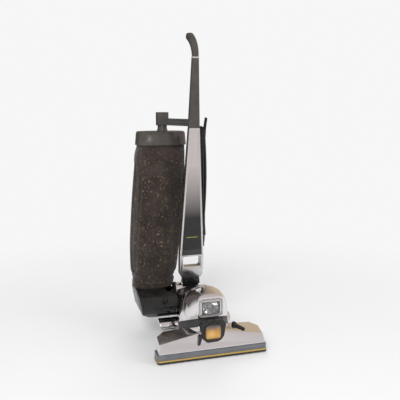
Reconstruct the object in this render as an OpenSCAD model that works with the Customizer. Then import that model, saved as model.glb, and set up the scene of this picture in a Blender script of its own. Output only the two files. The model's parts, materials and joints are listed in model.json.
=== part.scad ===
// Upright vacuum cleaner with a cast floor nozzle, a hinged headlight hood, a reclining handle and a side bag.
// Millimetres. +X is the machine's left as its user sees it, +Y points back to the user, +Z is up.
// The origin is the centre of the sole plate's floor face.

/* [Nozzle] */
// Width of the nozzle casting
nozzle_w = 370; // [330:1:410]
// Depth of the nozzle casting, front to back
nozzle_d = 78; // [74:1:92]
// Height of the nozzle's roof behind the belt lifter
nozzle_h = 90; // [86:1:94]
// Height of the nozzle's front edge at its two ends
nozzle_end_h = 62; // [58:1:68]
// Wall of the nozzle casting
nozzle_wall = 4; // [3:0.5:5]
// Height of the vinyl bumper strip
bumper_h = 22; // [16:1:26]
// Thickness of the vinyl bumper strip
bumper_t = 5; // [3:0.5:8]

/* [Brush roll] */
// Radius of the brush roll's core
roll_r = 16; // [12:0.5:18]
// Length of the brush tufts outside the core
tuft_len = 9; // [6:0.5:10]
// Tufts in each row on each side of the belt groove
tuft_count = 9; // [4:1:12]

/* [Motor and fan] */
// Height of the motor shaft above the floor
shaft_z = 92; // [88:1:104]
// Outside radius of the fan housing
fan_housing_r = 74; // [70:1:76]
// Radius of the fan
fan_r = 62; // [54:1:65]
// Number of fan blades
fan_blades = 7; // [5:1:11]
// Radius of the motor's stator
motor_r = 41; // [34:1:42]
// Width of the body at its vinyl band
body_w = 180; // [172:1:190]
// Height of the vinyl band
band_h = 25; // [20:1:32]
// Fall of the vinyl band towards the back, in degrees
band_slope = 24; // [16:1:28]
// Height of the hood's crown above the floor
crown_z = 219; // [210:1:230]

/* [Wheels] */
// Radius of the rear wheels
rear_wheel_r = 28; // [24:1:30]
// Width of a rear wheel
rear_wheel_w = 50; // [36:1:54]
// Radius of the front wheels
front_wheel_r = 15; // [12:1:17]

/* [Handle] */
// Forward lean of the locked handle, in degrees
lean = 5; // [0:0.5:8]
// Length of the metal handle frame
frame_l = 558; // [480:1:620]
// Width of the frame at its carrying loop
frame_w = 90; // [80:1:100]
// Width of the frame at its top
frame_top_w = 38; // [34:1:44]
// Front-to-back thickness of the frame
frame_t = 25; // [22:1:30]
// Length of the black upper handle
upper_l = 236; // [180:2:280]

/* [Bag] */
// Width of the bag at its middle
bag_w = 202; // [170:1:216]
// Depth of the bag at its middle
bag_d = 138; // [110:1:150]
// Height of the bag cap
cap_h = 49; // [36:1:60]

/* [Cord] */
// Diameter of the mains cord
cord_d = 7.4; // [6.4:0.1:8]
// Turns laid side by side across the hooks
cord_columns = 4; // [3:1:4]
// Layers of cord on the hooks
cord_layers = 3; // [2:1:3]

/* [Hidden] */

$fn = 64;
eps = 0.01;
run_gap = 0.05;        // radial clearance of a running fit
seat_gap = 0.3;        // clearance of a seated piece

// ---------- derived layout ----------
front_y = -nozzle_d / 2 + 3;               // front of the casting, behind the bumper
back_y = front_y + nozzle_d;
face_y = front_y + 14;                     // where the sloping front face meets the wings' ends
wing_fall = 7.1;                           // fall of each wing towards its end, in degrees
wing_pitch = 16;                           // rise of each wing towards the back, in degrees
bumper_z = 14;
roll_z = roll_r + tuft_len + 1;
roll_y = (front_y + back_y) / 2 - 2;
roll_l = nozzle_w - 36;
groove_r = roll_r - 3.5;
groove_w = 18;
pulley_r = 8;
belt_w = 11;
belt_t = 1.6;
barrel_r = 34;
barrel_y0 = face_y - 2;
fan_y0 = back_y + 1;                       // front of the fan housing
fan_d = 54;
fan_y1 = fan_y0 + fan_d;
band_at = [-8, shaft_z + 14];              // front lower edge of the band, [y, z]
hood_back = fan_y1 + 34;
cap_hinge = [96, crown_z - 9];             // hinge of the headlight cap, [y, z]
joint_lean = 35;                           // slant of the joint between the cap and the fixed hood
pivot = [0, 254, 150];                     // handle pivot and exhaust swivel axis, along X
rear_axle_y = 205;
front_axle_y = 128;
axle_r = 5;
chassis_w = 124;
chassis_y0 = fan_y1 + 6;
chassis_y1 = 256;
floor_z = 11;
neck_w = 66;
knuckle_w = 40;
knuckle_r = 19;
pin_r = 6;
frame_z0 = 49;                             // frame's bottom above the pivot, along the handle
frame_z1 = frame_z0 + frame_l;
loop_z0 = frame_z0 + 43;
loop_z1 = loop_z0 + 40;
knee_z = 302;
knee_w = frame_w - (frame_w - frame_top_w) * 0.34;
upper_z1 = frame_z1 + upper_l;
arm_z = frame_z1 + 3;
port_r = 27;
port_x = [-60, -36];
emptor_x = -64;
emptor_top = 156;
cuff_c = [-133, 310];
cuff_r = [62, 43];
cap_c = [-84, 360];
hang_z = [pivot[2] + frame_z1, pivot[2] + frame_z1 + 48];  // hanger block of the bag
cap_z0 = hang_z[0] - 71;
cap_r = [bag_w / 2 - 10, bag_d / 2 - 16];
peg_r = 8;
hank_in = peg_r + 2.6;
hank_out = hank_in + cord_layers * cord_d;
hank_t = cord_columns * cord_d;
upper_peg_z = frame_z1 - 33;
lower_peg_z = 266;
hank_z1 = upper_peg_z - 1;
hank_z0 = lower_peg_z - 0.7;
hank_x = 20;
hank_y = 47;                               // the wound cord hangs behind the handle
hank_tilt = 1.1;
hank_bow = 6;                              // outward bow of the wound cord at mid height

steel = [0.78, 0.77, 0.76];
polished = [0.80, 0.77, 0.74];
black = [0.10, 0.10, 0.10];
charcoal = [0.22, 0.22, 0.22];

// ---------- shape helpers ----------
function unit(v) = v / norm(v);
function lerp(a, b, t) = a + (b - a) * t;
// One fillet of radius r at corner b, as n + 1 points.
function fillet(a, b, c, r, n) =
  let (u = unit(a - b), w = unit(c - b), half = acos(u * w) / 2, back = r / tan(half),
       m = b + unit(u + w) * r / sin(half), p = b + u * back, q = b + w * back,
       a0 = atan2(p[1] - m[1], p[0] - m[0]), a1 = atan2(q[1] - m[1], q[0] - m[0]),
       turn = (a1 - a0 + 540) % 360 - 180)
  [for (i = [0:n]) m + r * [cos(a0 + turn * i / n), sin(a0 + turn * i / n)]];
// A closed outline with each corner filleted; r is one radius or one per corner.
function rounded(pts, r, n = 5) =
  [for (i = [0:len(pts) - 1])
    let (k = len(pts), radius = is_list(r) ? r[i] : r)
    each (radius > 0 ? fillet(pts[(i + k - 1) % k], pts[i], pts[(i + 1) % k], radius, n) : [pts[i]])];
function mirror_x(pts) = concat(pts, [for (i = [len(pts) - 1:-1:0]) [-pts[i][0], pts[i][1]]]);
function rect(w, h, r) = rounded([[-w/2, -h/2], [w/2, -h/2], [w/2, h/2], [-w/2, h/2]], r);
function oval(rx, ry, p = 2, n = 40) =
  [for (i = [0:n - 1]) let (a = 360 * i / n, c = cos(a), s = sin(a))
    [rx * sign(c) * pow(abs(c), 2 / p), ry * sign(s) * pow(abs(s), 2 / p)]];
function at_z(pts, z, c = [0, 0]) = [for (p = pts) [p[0] + c[0], p[1] + c[1], z]];
// Solid through a stack of rings with equal point counts, counter-clockwise seen from the last ring.
module loft(rings) {
  n = len(rings[0]);
  m = len(rings);
  polyhedron(
    points = [for (r = rings) each r],
    faces = concat(
      [[for (i = [0:n - 1]) i]],
      [[for (i = [n - 1:-1:0]) (m - 1) * n + i]],
      [for (k = [0:m - 2], i = [0:n - 1]) each let (a = k * n + i, b = k * n + (i + 1) % n)
        [[a, a + n, b + n], [a, b + n, b]]]),
    convexity = 6);
}
// Round tube swept along points that keep clear of the X direction.
module sweep(path, r, n = 10) {
  last = len(path) - 1;
  loft([for (i = [0:last])
    let (t = unit(path[min(i + 1, last)] - path[max(i - 1, 0)]),
         side = unit(cross(t, abs(t[0]) > 0.8 ? [0, 1, 0] : [1, 0, 0])), up = cross(t, side))
    [for (k = [0:n - 1]) path[i] + r * (side * cos(360 * k / n) + up * sin(360 * k / n))]]);
}
function bezier(p, t) =
  p[0] * pow(1 - t, 3) + p[1] * 3 * t * pow(1 - t, 2) + p[2] * 3 * t * t * (1 - t) + p[3] * pow(t, 3);
module along_x(x0, x1) { translate([x0, 0, 0]) rotate([90, 0, 90]) linear_extrude(x1 - x0) children(); }
module along_y(y0, y1) { translate([0, y1, 0]) rotate([90, 0, 0]) linear_extrude(y1 - y0) children(); }
module rod_x(r, x0, x1, y, z) { translate([x0, y, z]) rotate([0, 90, 0]) cylinder(r = r, h = x1 - x0); }
module rod_y(r, y0, y1, x, z) { translate([x, y1, z]) rotate([90, 0, 0]) cylinder(r = r, h = y1 - y0); }
module rod_z(r, z0, z1, x, y) { translate([x, y, z0]) cylinder(r = r, h = z1 - z0); }
module block(lo, hi) { translate(lo) cube(hi - lo); }
module both() { children(); mirror([1, 0, 0]) children(); }
module handle_frame_of_reference() { translate(pivot) rotate([lean, 0, 0]) children(); }

// ---------- floor nozzle ----------
// Height of the sloping front face at depth y.
function face_z(y) = lerp(bumper_z + bumper_h, nozzle_end_h, (y - front_y) / (face_y - front_y));
function face_at(z) = lerp(front_y, face_y, (z - bumper_z - bumper_h) / (nozzle_end_h - bumper_z - bumper_h));
function nozzle_profile(d) = rounded([
  [front_y + d, bumper_z - 9 - (d > 0 ? 20 : 0)], [back_y - d, bumper_z - 9 - (d > 0 ? 20 : 0)],
  [back_y - d, nozzle_h - 12 - d], [back_y - 12 - d, nozzle_h - d],
  [face_at(nozzle_h) + d * 0.65, nozzle_h - d], [front_y + d, bumper_z + bumper_h - d * 0.5]],
  [0, 0, 6, 8, 3, 4]);
// Plan outline: the ends are narrower at the back, where the wings sweep in.
function nozzle_plan(d) = rounded(mirror_x([
  [nozzle_w / 2 - d, front_y - 1], [nozzle_w / 2 - d, back_y - 26 - d], [nozzle_w / 2 - 40 - d, back_y + 1 - d]]),
  [0, 10, 14, 14, 10, 0]);
// Places its children on the plane of the +X wing's roof, from the wing's front outer corner.
module wing() {
  translate([nozzle_w / 2 - 5, face_y, nozzle_end_h]) rotate([wing_pitch, wing_fall, 0]) children();
}
module nozzle_mass(d) {
  difference() {
    intersection() {
      along_x(-nozzle_w / 2 + d, nozzle_w / 2 - d) polygon(nozzle_profile(d));
      translate([0, 0, -30]) linear_extrude(nozzle_h + 60) polygon(nozzle_plan(d));
      along_y(front_y - 1, back_y + 1) polygon([[-nozzle_w/2 - 1, -30], [nozzle_w/2 + 1, -30], [nozzle_w/2 - d, 30],
        [nozzle_w/2 - 7 - d, nozzle_h + 1], [-nozzle_w/2 + 7 + d, nozzle_h + 1], [-nozzle_w/2 + d, 30]]);
      both_planes() wing() translate([-600, -300, -400 - d]) cube([900, 600, 400]);
    }
    // room for the body's deck
    band_frame() linear_extrude_at(-17 - d, 120) polygon(body_plan(-1 - d));
  }
}
// What lies under both a plane and its mirror image.
module both_planes() { intersection() { children(); mirror([1, 0, 0]) children(); } }
module nozzle_housing() color(polished) difference() {
  union() {
    nozzle_mass(0);
    rod_y(barrel_r, barrel_y0, fan_y0 - seat_gap, 0, shaft_z);
  }
  nozzle_mass(nozzle_wall);
  rod_y(barrel_r - nozzle_wall, barrel_y0 - 1, fan_y0 + 1, 0, shaft_z);
  // room for the tufts, and the duct from the brush cavity up to the fan inlet
  rod_x(roll_r + tuft_len + 1.5, -roll_l / 2, roll_l / 2, roll_y, roll_z);
  block([-24, face_at(nozzle_h) + 8, 30], [24, back_y - nozzle_wall, shaft_z - 8]);
  // clearance for the sole plate
  block([-nozzle_w, front_y - 1, -20], [nozzle_w, back_y + 1, bumper_z - 8]);
}
module bumper_ring(t0, t1, z0, z1) {
  w = nozzle_w / 2;
  translate([0, 0, z0]) linear_extrude(z1 - z0) difference() {
    polygon(rounded([[-w - t1, front_y - t1], [w + t1, front_y - t1], [w + t1, back_y - 30], [-w - t1, back_y - 30]],
                    [9, 9, 0, 0]));
    polygon([[-w - t0, front_y - t0], [w + t0, front_y - t0], [w + t0, back_y], [-w - t0, back_y]]);
  }
}
module bumper_strip() color([0.36, 0.37, 0.38]) difference() {
  union() {
    bumper_ring(0, bumper_t, bumper_z, bumper_z + bumper_h - 4);
    bumper_ring(0, bumper_t + 1.5, bumper_z - 10, bumper_z - 5);
    bumper_ring(0, bumper_t - 2, bumper_z - 5, bumper_z);
  }
  // the casting's ends draw in towards the top, so the strip is seated on its widest line
  block([-nozzle_w, back_y - 30, -1], [nozzle_w, back_y, 60]);
}
module bumper_stripe() color([0.72, 0.55, 0.22])
  bumper_ring(bumper_t - 2 + eps, bumper_t + 0.5, bumper_z - 5 + eps, bumper_z - eps);
function tuft_x(k) = 24 + k * (roll_l / 2 - 32) / (tuft_count - 1);
module sole_plate() color([0.30, 0.30, 0.31]) difference() {
  z1 = bumper_z - 8 - eps;
  linear_extrude(z1)
    polygon(rounded(mirror_x([[nozzle_w/2 - 1, front_y + 1], [nozzle_w/2 - 1, -front_y - 16],
                              [nozzle_w/2 - 40, -front_y - 1]]), [4, 8, 12, 12, 8, 4]));
  // four suction slots under the brush roll, parted by three carpet guards
  mid = tuft_x(floor(tuft_count / 2) - 0.5);
  for (s = [-1, 1], span = [[3, mid - 2.5], [mid + 2.5, roll_l / 2 + 2]])
    translate([s * (span[0] + span[1]) / 2, roll_y, -1]) linear_extrude(z1 + 2)
      polygon(rect(span[1] - span[0], 2 * (roll_r + tuft_len) + 6, 2));
  // air relief grooves at the front edge
  for (k = [-6:6]) block([k * 24 - 5, front_y, -1], [k * 24 + 5, front_y + 6, 2]);
}
module brush_roll() color([0.16, 0.13, 0.11]) difference() {
  union() {
    rod_x(roll_r, -roll_l / 2, roll_l / 2, roll_y, roll_z);
    rod_x(4, -roll_l / 2 - 9, roll_l / 2 + 9, roll_y, roll_z);
  }
  rotate([0, 90, 0]) translate([-roll_z, roll_y, -groove_w / 2]) difference() {
    cylinder(r = roll_r + 1, h = groove_w);
    translate([0, 0, -1]) cylinder(r = groove_r, h = groove_w + 2);
  }
}
// Two chevron rows of tufts wind round the core, half a turn apart.
module brush_tufts() color([0.14, 0.14, 0.14])
  for (row = [0, 180], side = [-1, 1], k = [0:tuft_count - 1])
    translate([side * tuft_x(k), roll_y, roll_z]) rotate([row + k * 15, 0, 0])
      translate([0, 0, roll_r - 1]) cylinder(r = 3, h = tuft_len + 1, $fn = 20);
module roll_end_caps() color(charcoal) both() difference() {
  x0 = roll_l / 2 + 0.5;
  x1 = nozzle_w / 2 - 6 - nozzle_wall - seat_gap;
  block([x0, roll_y - 14, bumper_z - 8 + eps], [x1, roll_y + 14, roll_z + 12]);
  rod_x(4 + run_gap, x0 - 1, roll_l / 2 + 9.5, roll_y, roll_z);
}
// Quarter-turn flat belt: over the shaft end, down both sides, under the brush roll.
belt_rp = pulley_r + 0.6 + belt_t / 2;
belt_rr = groove_r + 0.9 + belt_t / 2;
function belt_stations() = let (top = [0, roll_y, shaft_z], low = [0, roll_y, roll_z], arc = 12, run = 12) concat(
  [for (i = [0:arc]) let (a = 180 * i / arc)
    [top + belt_rp * [cos(a), 0, sin(a)], a, 0]],
  [for (i = [1:run - 1]) let (t = i / run)
    [lerp(top + [-belt_rp, 0, 0], low + [0, -belt_rr, 0], t), 180 + 90 * t, 1]],
  [for (i = [0:arc]) let (a = 180 * i / arc)
    [low + belt_rr * [0, -cos(a), -sin(a)], a, 2]],
  [for (i = [1:run - 1]) let (t = i / run)
    [lerp(low + [0, belt_rr, 0], top + [belt_rp, 0, 0], t), 90 - 90 * t, 3]]);
function belt_normal(s) = s[2] == 0 ? [cos(s[1]), 0, sin(s[1])]
  : s[2] == 2 ? [0, -cos(s[1]), -sin(s[1])] : [cos(s[1]), sin(s[1]), 0];
function belt_across(s) = s[2] == 0 ? [0, 1, 0] : s[2] == 2 ? [-1, 0, 0]
  : s[2] == 1 ? [cos(s[1] - 90), sin(s[1] - 90), 0] : [cos(s[1] + 90), sin(s[1] + 90), 0];
module drive_belt() color([0.07, 0.07, 0.07]) {
  st = belt_stations();
  m = len(st);
  polyhedron(
    points = [for (s = st) let (n = belt_normal(s) * belt_t / 2, w = belt_across(s) * belt_w / 2)
      each [s[0] + n + w, s[0] + n - w, s[0] - n - w, s[0] - n + w]],
    faces = [for (i = [0:m - 1], k = [0:3]) each let (j = (i + 1) % m, l = (k + 1) % 4)
      [[i * 4 + l, j * 4 + l, j * 4 + k], [i * 4 + l, j * 4 + k, i * 4 + k]]],
    convexity = 6);
}
// Lever on the wing that locks the nozzle to the power unit; its place is measured on the wing's plane.
lock_at = [-(nozzle_w / 2 - 5 - body_w / 2 + 0.3), 45.8];   // beside the body, on the wing's plane
module nozzle_lock() color(black) wing() translate([lock_at[0], lock_at[1], seat_gap]) {
  cylinder(r = 8, h = 7);
  cylinder(r = 5.5, h = 9);
  rotate([0, 0, -42]) difference() {
    linear_extrude(5) polygon(rounded([[0, -5], [40, -3.5], [43, 0], [40, 3.5], [0, 5]], [0, 2, 2, 2, 0]));
    for (k = [0:3]) block([26 + 4 * k, -5, 4], [27.5 + 4 * k, 5, 6]);
  }
}

// ---------- belt lifter ----------
bezel_z = shaft_z + 2;
knob_r = 33.5;
module lifter_bezel() color(black) difference() {
  y1 = barrel_y0 - seat_gap;
  union() {
    along_y(y1 - 12, y1) translate([0, bezel_z])
      polygon(rounded([[-36, -37], [36, -37], [42, 12], [40, 37], [-40, 37], [-42, 12]], [30, 30, 10, 14, 14, 10]));
    // stop that the lifter's arrow points at
    along_y(y1 - 14, y1 - 2) polygon(rounded([[-51, 54], [-46, 52], [-38, 80], [-46, 88], [-50, 84]], [1.5, 1, 0, 2, 2]));
  }
  rod_y(knob_r + seat_gap, y1 - 20, y1 + 5, 0, shaft_z);
  // relief for the sloping front of the casting
  along_x(-60, 60) polygon([[y1 - 30, 0], [y1 + 1, 0], [y1 + 1, face_z(y1 + 1) + 1], [front_y - 2, face_z(front_y - 2) + 1]]);
}
window_size = [54, 48];
module lifter_knob() color(black) {
  y1 = barrel_y0 - 3;
  difference() {
    union() {
      rod_y(knob_r, y1 - 11, y1, 0, shaft_z);
      rod_y(barrel_r - nozzle_wall - seat_gap, y1 - 1, y1 + 7, 0, shaft_z);
    }
    along_y(y1 - 12, y1 + 8) translate([0, shaft_z]) polygon(rect(window_size[0] - 8, window_size[1] - 8, 6));
    along_y(y1 - 12, y1 - 4) translate([0, shaft_z]) polygon(rect(window_size[0], window_size[1], 9));
  }
  // finger that hooks the belt
  difference() {
    block([-5, y1 + 6, shaft_z + 19], [5, y1 + 14, shaft_z + 28]);
    block([-6, y1 + 9, shaft_z + 22], [6, y1 + 12, shaft_z + 29]);
  }
}
module lifter_window() color([0.85, 0.50, 0.10, 0.75]) {
  y1 = barrel_y0 - 3;
  along_y(y1 - 10, y1 - 4 - eps) translate([0, shaft_z])
    polygon(rect(window_size[0] - 0.3, window_size[1] - 0.3, 9));
}

// ---------- fan and motor ----------
// Outline of the body in the band's sloping plane: blunt nose, bevelled cheeks, tapering to the back.
nose_w = 45;                               // half width of the body's blunt nose
function body_plan(d) =
  let (w = body_w / 2 - d, nose = nose_w - d * 0.6, back = (hood_back + 8 - band_at[0]) / cos(band_slope))
  rounded(mirror_x([[nose, d], [w - 17.5, (w - 17.5 - nose) * 1.45 + d], [w, 92], [w - 4, 112], [w - 22, back - d]]),
  [8, 22, 40, 30, 0, 0, 30, 40, 22, 8]);
module band_frame() { translate([0, band_at[0], band_at[1]]) rotate([-band_slope, 0, 0]) children(); }
module fan_housing() color(polished) difference() {
  union() {
    translate([0, fan_y0, shaft_z]) rotate([-90, 0, 0]) rotate_extrude()
      polygon([[0, 0], [fan_housing_r - 22, 0], [fan_housing_r - 9, 5], [fan_housing_r - 2, 14],
               [fan_housing_r, 26], [fan_housing_r, fan_d], [0, fan_d]]);
    // polished deck under the band
    band_frame() linear_extrude_at(-16, 16 - seat_gap) polygon(body_plan(4.5));
  }
  translate([0, fan_y0 + 4, shaft_z]) rotate([-90, 0, 0]) rotate_extrude()
    polygon([[0, 0], [fan_housing_r - 24, 0], [fan_housing_r - 12, 5], [fan_housing_r - 6, 14],
             [fan_housing_r - 4, 26], [fan_housing_r - 4, fan_d], [0, fan_d]]);
  // inlet, and room for the nozzle's barrel
  rod_y(barrel_r - nozzle_wall, fan_y0 - 1, fan_y0 + 5, 0, shaft_z);
  rod_y(barrel_r + 1, -60, fan_y0 - eps, 0, shaft_z);
  block([-chassis_w / 2 - seat_gap, fan_y1, 0], [chassis_w / 2 + seat_gap, 400, 300]);
  // the deck is hollow round the fan's housing
  difference() {
    band_frame() linear_extrude_at(-12, 30) polygon(body_plan(8));
    for (step = [[24, 1], [10, 6], [2.5, 15]])
      rod_y(fan_housing_r - step[0], fan_y0 + step[1], fan_y1 - 1, 0, shaft_z);
  }
  // outlet to the exhaust duct
  duct_hole();
}
duct_c = [-47, 124];
module duct_section(d) { translate(duct_c) polygon(rect(25 - 2 * d, 40 - 2 * d, 10 - d)); }
module duct_hole() { along_y(fan_y1 - 12, fan_y1 + 40) duct_section(2.5); }
module fan_backplate() color(charcoal) difference() {
  union() {
    rod_y(fan_housing_r - 4 - seat_gap, fan_y1 - 5, fan_y1, 0, shaft_z);
    rod_y(20, fan_y1 - eps, fan_y1 + 12, 0, shaft_z);
  }
  rod_y(13 + run_gap, fan_y1, fan_y1 + 13, 0, shaft_z);
  rod_y(9, fan_y1 - 6, fan_y1 + 1, 0, shaft_z);
  duct_hole();
  for (a = [0:5]) rotate_about_shaft(60 * a + 30) rod_y(4, fan_y1 - 6, fan_y1 + 1, fan_housing_r - 28, shaft_z);
}
module rotate_about_shaft(a) { translate([0, 0, shaft_z]) rotate([0, a, 0]) translate([0, 0, -shaft_z]) children(); }
module fan() color([0.75, 0.72, 0.62]) {
  y0 = fan_y0 + 12;
  difference() {
    union() {
      rod_y(fan_r, y0 + 24, y0 + 27, 0, shaft_z);
      rod_y(14, y0 - 2, y0 + 28, 0, shaft_z);
    }
    rod_y(axle_r + run_gap, y0 - 3, y0 + 30, 0, shaft_z);
  }
  // backward-curved blades between the hub and the rim
  for (k = [0:fan_blades - 1]) rotate_about_shaft(360 * k / fan_blades)
    along_y(y0, y0 + 24.5) translate([0, shaft_z]) polygon(concat(blade_side(1.2), [for (i = [8:-1:0]) blade_side(-1.2)[i]]));
}
function blade_side(t) = [for (i = [0:8]) let (r = lerp(13, fan_r - 1, i / 8), a = 62 * pow(i / 8, 0.8))
  [r * cos(a) - t * sin(a + 25), r * sin(a) + t * cos(a + 25)]];
stator_y = [chassis_y0 + 22, chassis_y0 + 78];
// The armature carries the shaft, whose front end is the belt pulley.
module armature() color([0.55, 0.33, 0.20]) {
  rod_y(axle_r, roll_y + 7, 226, 0, shaft_z);
  rod_y(pulley_r, roll_y - 8, roll_y + 8, 0, shaft_z);
  rod_y(pulley_r + 1.8, roll_y + 7, roll_y + 9, 0, shaft_z);
  for (k = [0:11]) rotate_about_shaft(30 * k)
    along_y(stator_y[0] + 4, stator_y[1] - 4) translate([0, shaft_z])
      polygon([[0, 0], [25, -5.6], [26, 0], [25, 5.6]]);
  rod_y(21, stator_y[0] - 4, stator_y[1] + 4, 0, shaft_z);
  rod_y(14, stator_y[1] + 3, stator_y[1] + 26, 0, shaft_z);
}
module stator() color([0.45, 0.45, 0.46]) difference() {
  union() {
    rod_y(motor_r, stator_y[0], stator_y[1], 0, shaft_z);
    // ears that carry the motor on the chassis walls
    both() block([motor_r - 4, stator_y[0] + 8, shaft_z - 18], [chassis_w / 2 - 3.8, stator_y[1] - 8, shaft_z - 8]);
  }
  rod_y(27, 0, 300, 0, shaft_z);
  along_y(0, 300) duct_section(-0.6);
  // flats for the field coils' slots
  both() block([30, stator_y[0] - 1, shaft_z - 7], [motor_r - 6, stator_y[1] + 1, shaft_z + 7]);
}
module shaft_bearings() color(steel) {
  for (y = [fan_y1 + 1, 208]) difference() {
    rod_y(13, y, y + 9, 0, shaft_z);
    rod_y(axle_r + run_gap, y - 1, y + 10, 0, shaft_z);
  }
}
module carbon_brushes() color(black) both()
  block([14.3, stator_y[1] + 8, shaft_z - 4], [38, stator_y[1] + 18, shaft_z + 4]);
module body_band() color(charcoal) difference() {
  band_frame() linear_extrude(band_h) polygon(body_plan(0));
  band_frame() linear_extrude_at(-1, band_h + 2) polygon(body_plan(6));
  rod_y(barrel_r + 0.5, -60, fan_y0, 0, shaft_z);
  block([-chassis_w / 2 - seat_gap, fan_y1, 0], [chassis_w / 2 + seat_gap, 400, 300]);
}

// ---------- headlight hood ----------
// [share of the depth, half width as a share of the body's, drop below the crown, squareness]
hood_sections = [
  [0, 0.5, 16, 9], [0.03, 0.525, 12, 6.5], [0.08, 0.585, 8, 4.6], [0.16, 0.685, 4.5, 3.3], [0.27, 0.8, 2, 2.7],
  [0.37, 0.855, 0.5, 2.5], [0.46, 0.905, 0, 2.4], [0.54, 0.955, 1.5, 2.3], [0.64, 0.98, 4, 2.3],
  [0.77, 0.945, 9, 2.3], [0.89, 0.84, 17, 2.5], [1, 0.765, 26, 3.6]];
hood_y0 = band_at[0] + 4;
function band_top_z(y) = band_at[1] + (band_h + seat_gap) / cos(band_slope) - tan(band_slope) * (y - band_at[0]);
function hood_arch(s, d, y) = let (w = body_w / 2 * s[1] - d, base = band_top_z(y), rise = crown_z - s[2] - d - base)
  [for (i = [0:32]) let (a = 180 * i / 32, c = cos(a))
    [w * sign(c) * pow(abs(c), 2 / s[3]), y, base + rise * pow(max(0, sin(a)), 2 / s[3])]];
// One closed skin: outer arches, inner arches, the nose wall and the rims between them.
module hood_skin(t) {
  m = len(hood_sections);
  n = 33;
  ys = [for (s = hood_sections) lerp(hood_y0, hood_back, s[0])];
  outer = [for (k = [0:m - 1]) hood_arch(hood_sections[k], 0, ys[k])];
  inner = [for (k = [0:m - 1]) hood_arch(hood_sections[k], t, ys[k] + (k == 0 ? t : 0))];
  polyhedron(
    points = concat([for (r = outer) each r], [for (r = inner) each r]),
    faces = concat(
      [[for (i = [n - 1:-1:0]) i], [for (i = [0:n - 1]) m * n + i], [0, m * n, m * n + n - 1, n - 1]],
      [for (k = [0:m - 2], i = [0:n - 2]) each let (a = k * n + i, b = a + n) [[a, a + 1, b], [a + 1, b + 1, b]]],
      [for (k = [0:m - 2], i = [0:n - 2]) each let (a = (m + k) * n + i, b = a + n) [[a, b, a + 1], [a + 1, b, b + 1]]],
      [for (k = [0:m - 2]) [k * n, (k + 1) * n, (m + k + 1) * n, (m + k) * n]],
      [for (k = [0:m - 2]) [k * n + n - 1, (m + k) * n + n - 1, (m + k + 1) * n + n - 1, (k + 1) * n + n - 1]],
      [for (i = [0:n - 2]) let (a = (m - 1) * n + i, b = a + m * n) [a, a + 1, b + 1, b]]),
    convexity = 8);
}
// Everything behind the slanting joint between the hinged cap and the fixed hood.
module behind_joint(gap) {
  translate([-150, cap_hinge[0], cap_hinge[1]]) rotate([-joint_lean, 0, 0]) translate([0, gap, -300]) cube([300, 300, 400]);
}
lens_size = [78, 57];
module lens_place() { translate([0, hood_y0, crown_z - 52.5]) children(); }
module headlight_cap() color(polished) difference() {
  union() {
    difference() {
      hood_skin(3);
      behind_joint(-0.4);
      both() block([11.7, cap_hinge[0] - 9, crown_z - 30], [16.5, cap_hinge[0] + 9, crown_z]);
    }
    // knuckle of the cap's hinge
    rod_x(4, -11.4, 11.4, cap_hinge[0], cap_hinge[1]);
    block([-11.4, cap_hinge[0] - 9, cap_hinge[1] - 3], [11.4, cap_hinge[0], cap_hinge[1] + 2]);
  }
  rod_x(2 + run_gap, -25, 25, cap_hinge[0], cap_hinge[1]);
  // seat of the lens
  lens_place() along_y(-20, 22) polygon(rect(lens_size[0] - 6, lens_size[1] - 6, 5));
  lens_place() along_y(-20, 1.2) polygon(rect(lens_size[0], lens_size[1], 7));
}
module hood() color(polished) {
  difference() {
    hood_skin(3);
    difference() {
      block([-150, -100, 0], [150, 300, 400]);
      behind_joint(0.8);
    }
    block([-11.7, cap_hinge[0] - 9, cap_hinge[1] - 8], [11.7, cap_hinge[0] + 4.5, crown_z]);
  }
  // fixed lugs and pin of the cap's hinge
  both() along_x(12, 16) polygon([[cap_hinge[0] - 4, cap_hinge[1] - 3], [cap_hinge[0] + 10, cap_hinge[1] - 10],
    [cap_hinge[0] + 10, cap_hinge[1] - 3], [cap_hinge[0] + 3, cap_hinge[1] + 2.4], [cap_hinge[0] - 3, cap_hinge[1] + 3]]);
  rod_x(2, -14, 14, cap_hinge[0], cap_hinge[1]);
}
module headlight_lens() color([0.86, 0.87, 0.90, 0.6]) lens_place() {
  along_y(-2.4, 1.2 - eps) polygon(rect(lens_size[0] - 0.4, lens_size[1] - 0.4, 7));
}
module headlight_reflector() color(steel) lens_place() difference() {
  translate([0, 3.3, 0]) rotate([-90, 0, 0]) cylinder(r1 = 27, r2 = 12, h = 24);
  translate([0, 3.2, 0]) rotate([-90, 0, 0]) cylinder(r1 = 25.2, r2 = 10, h = 22.5);
  rod_y(5.2, 20, 30, 0, 0);
}
module headlight_bulb() color([0.95, 0.93, 0.85]) lens_place() {
  rod_y(5, 14, 34, 0, 0);
  translate([0, 13, 0]) sphere(r = 7);
}
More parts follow.
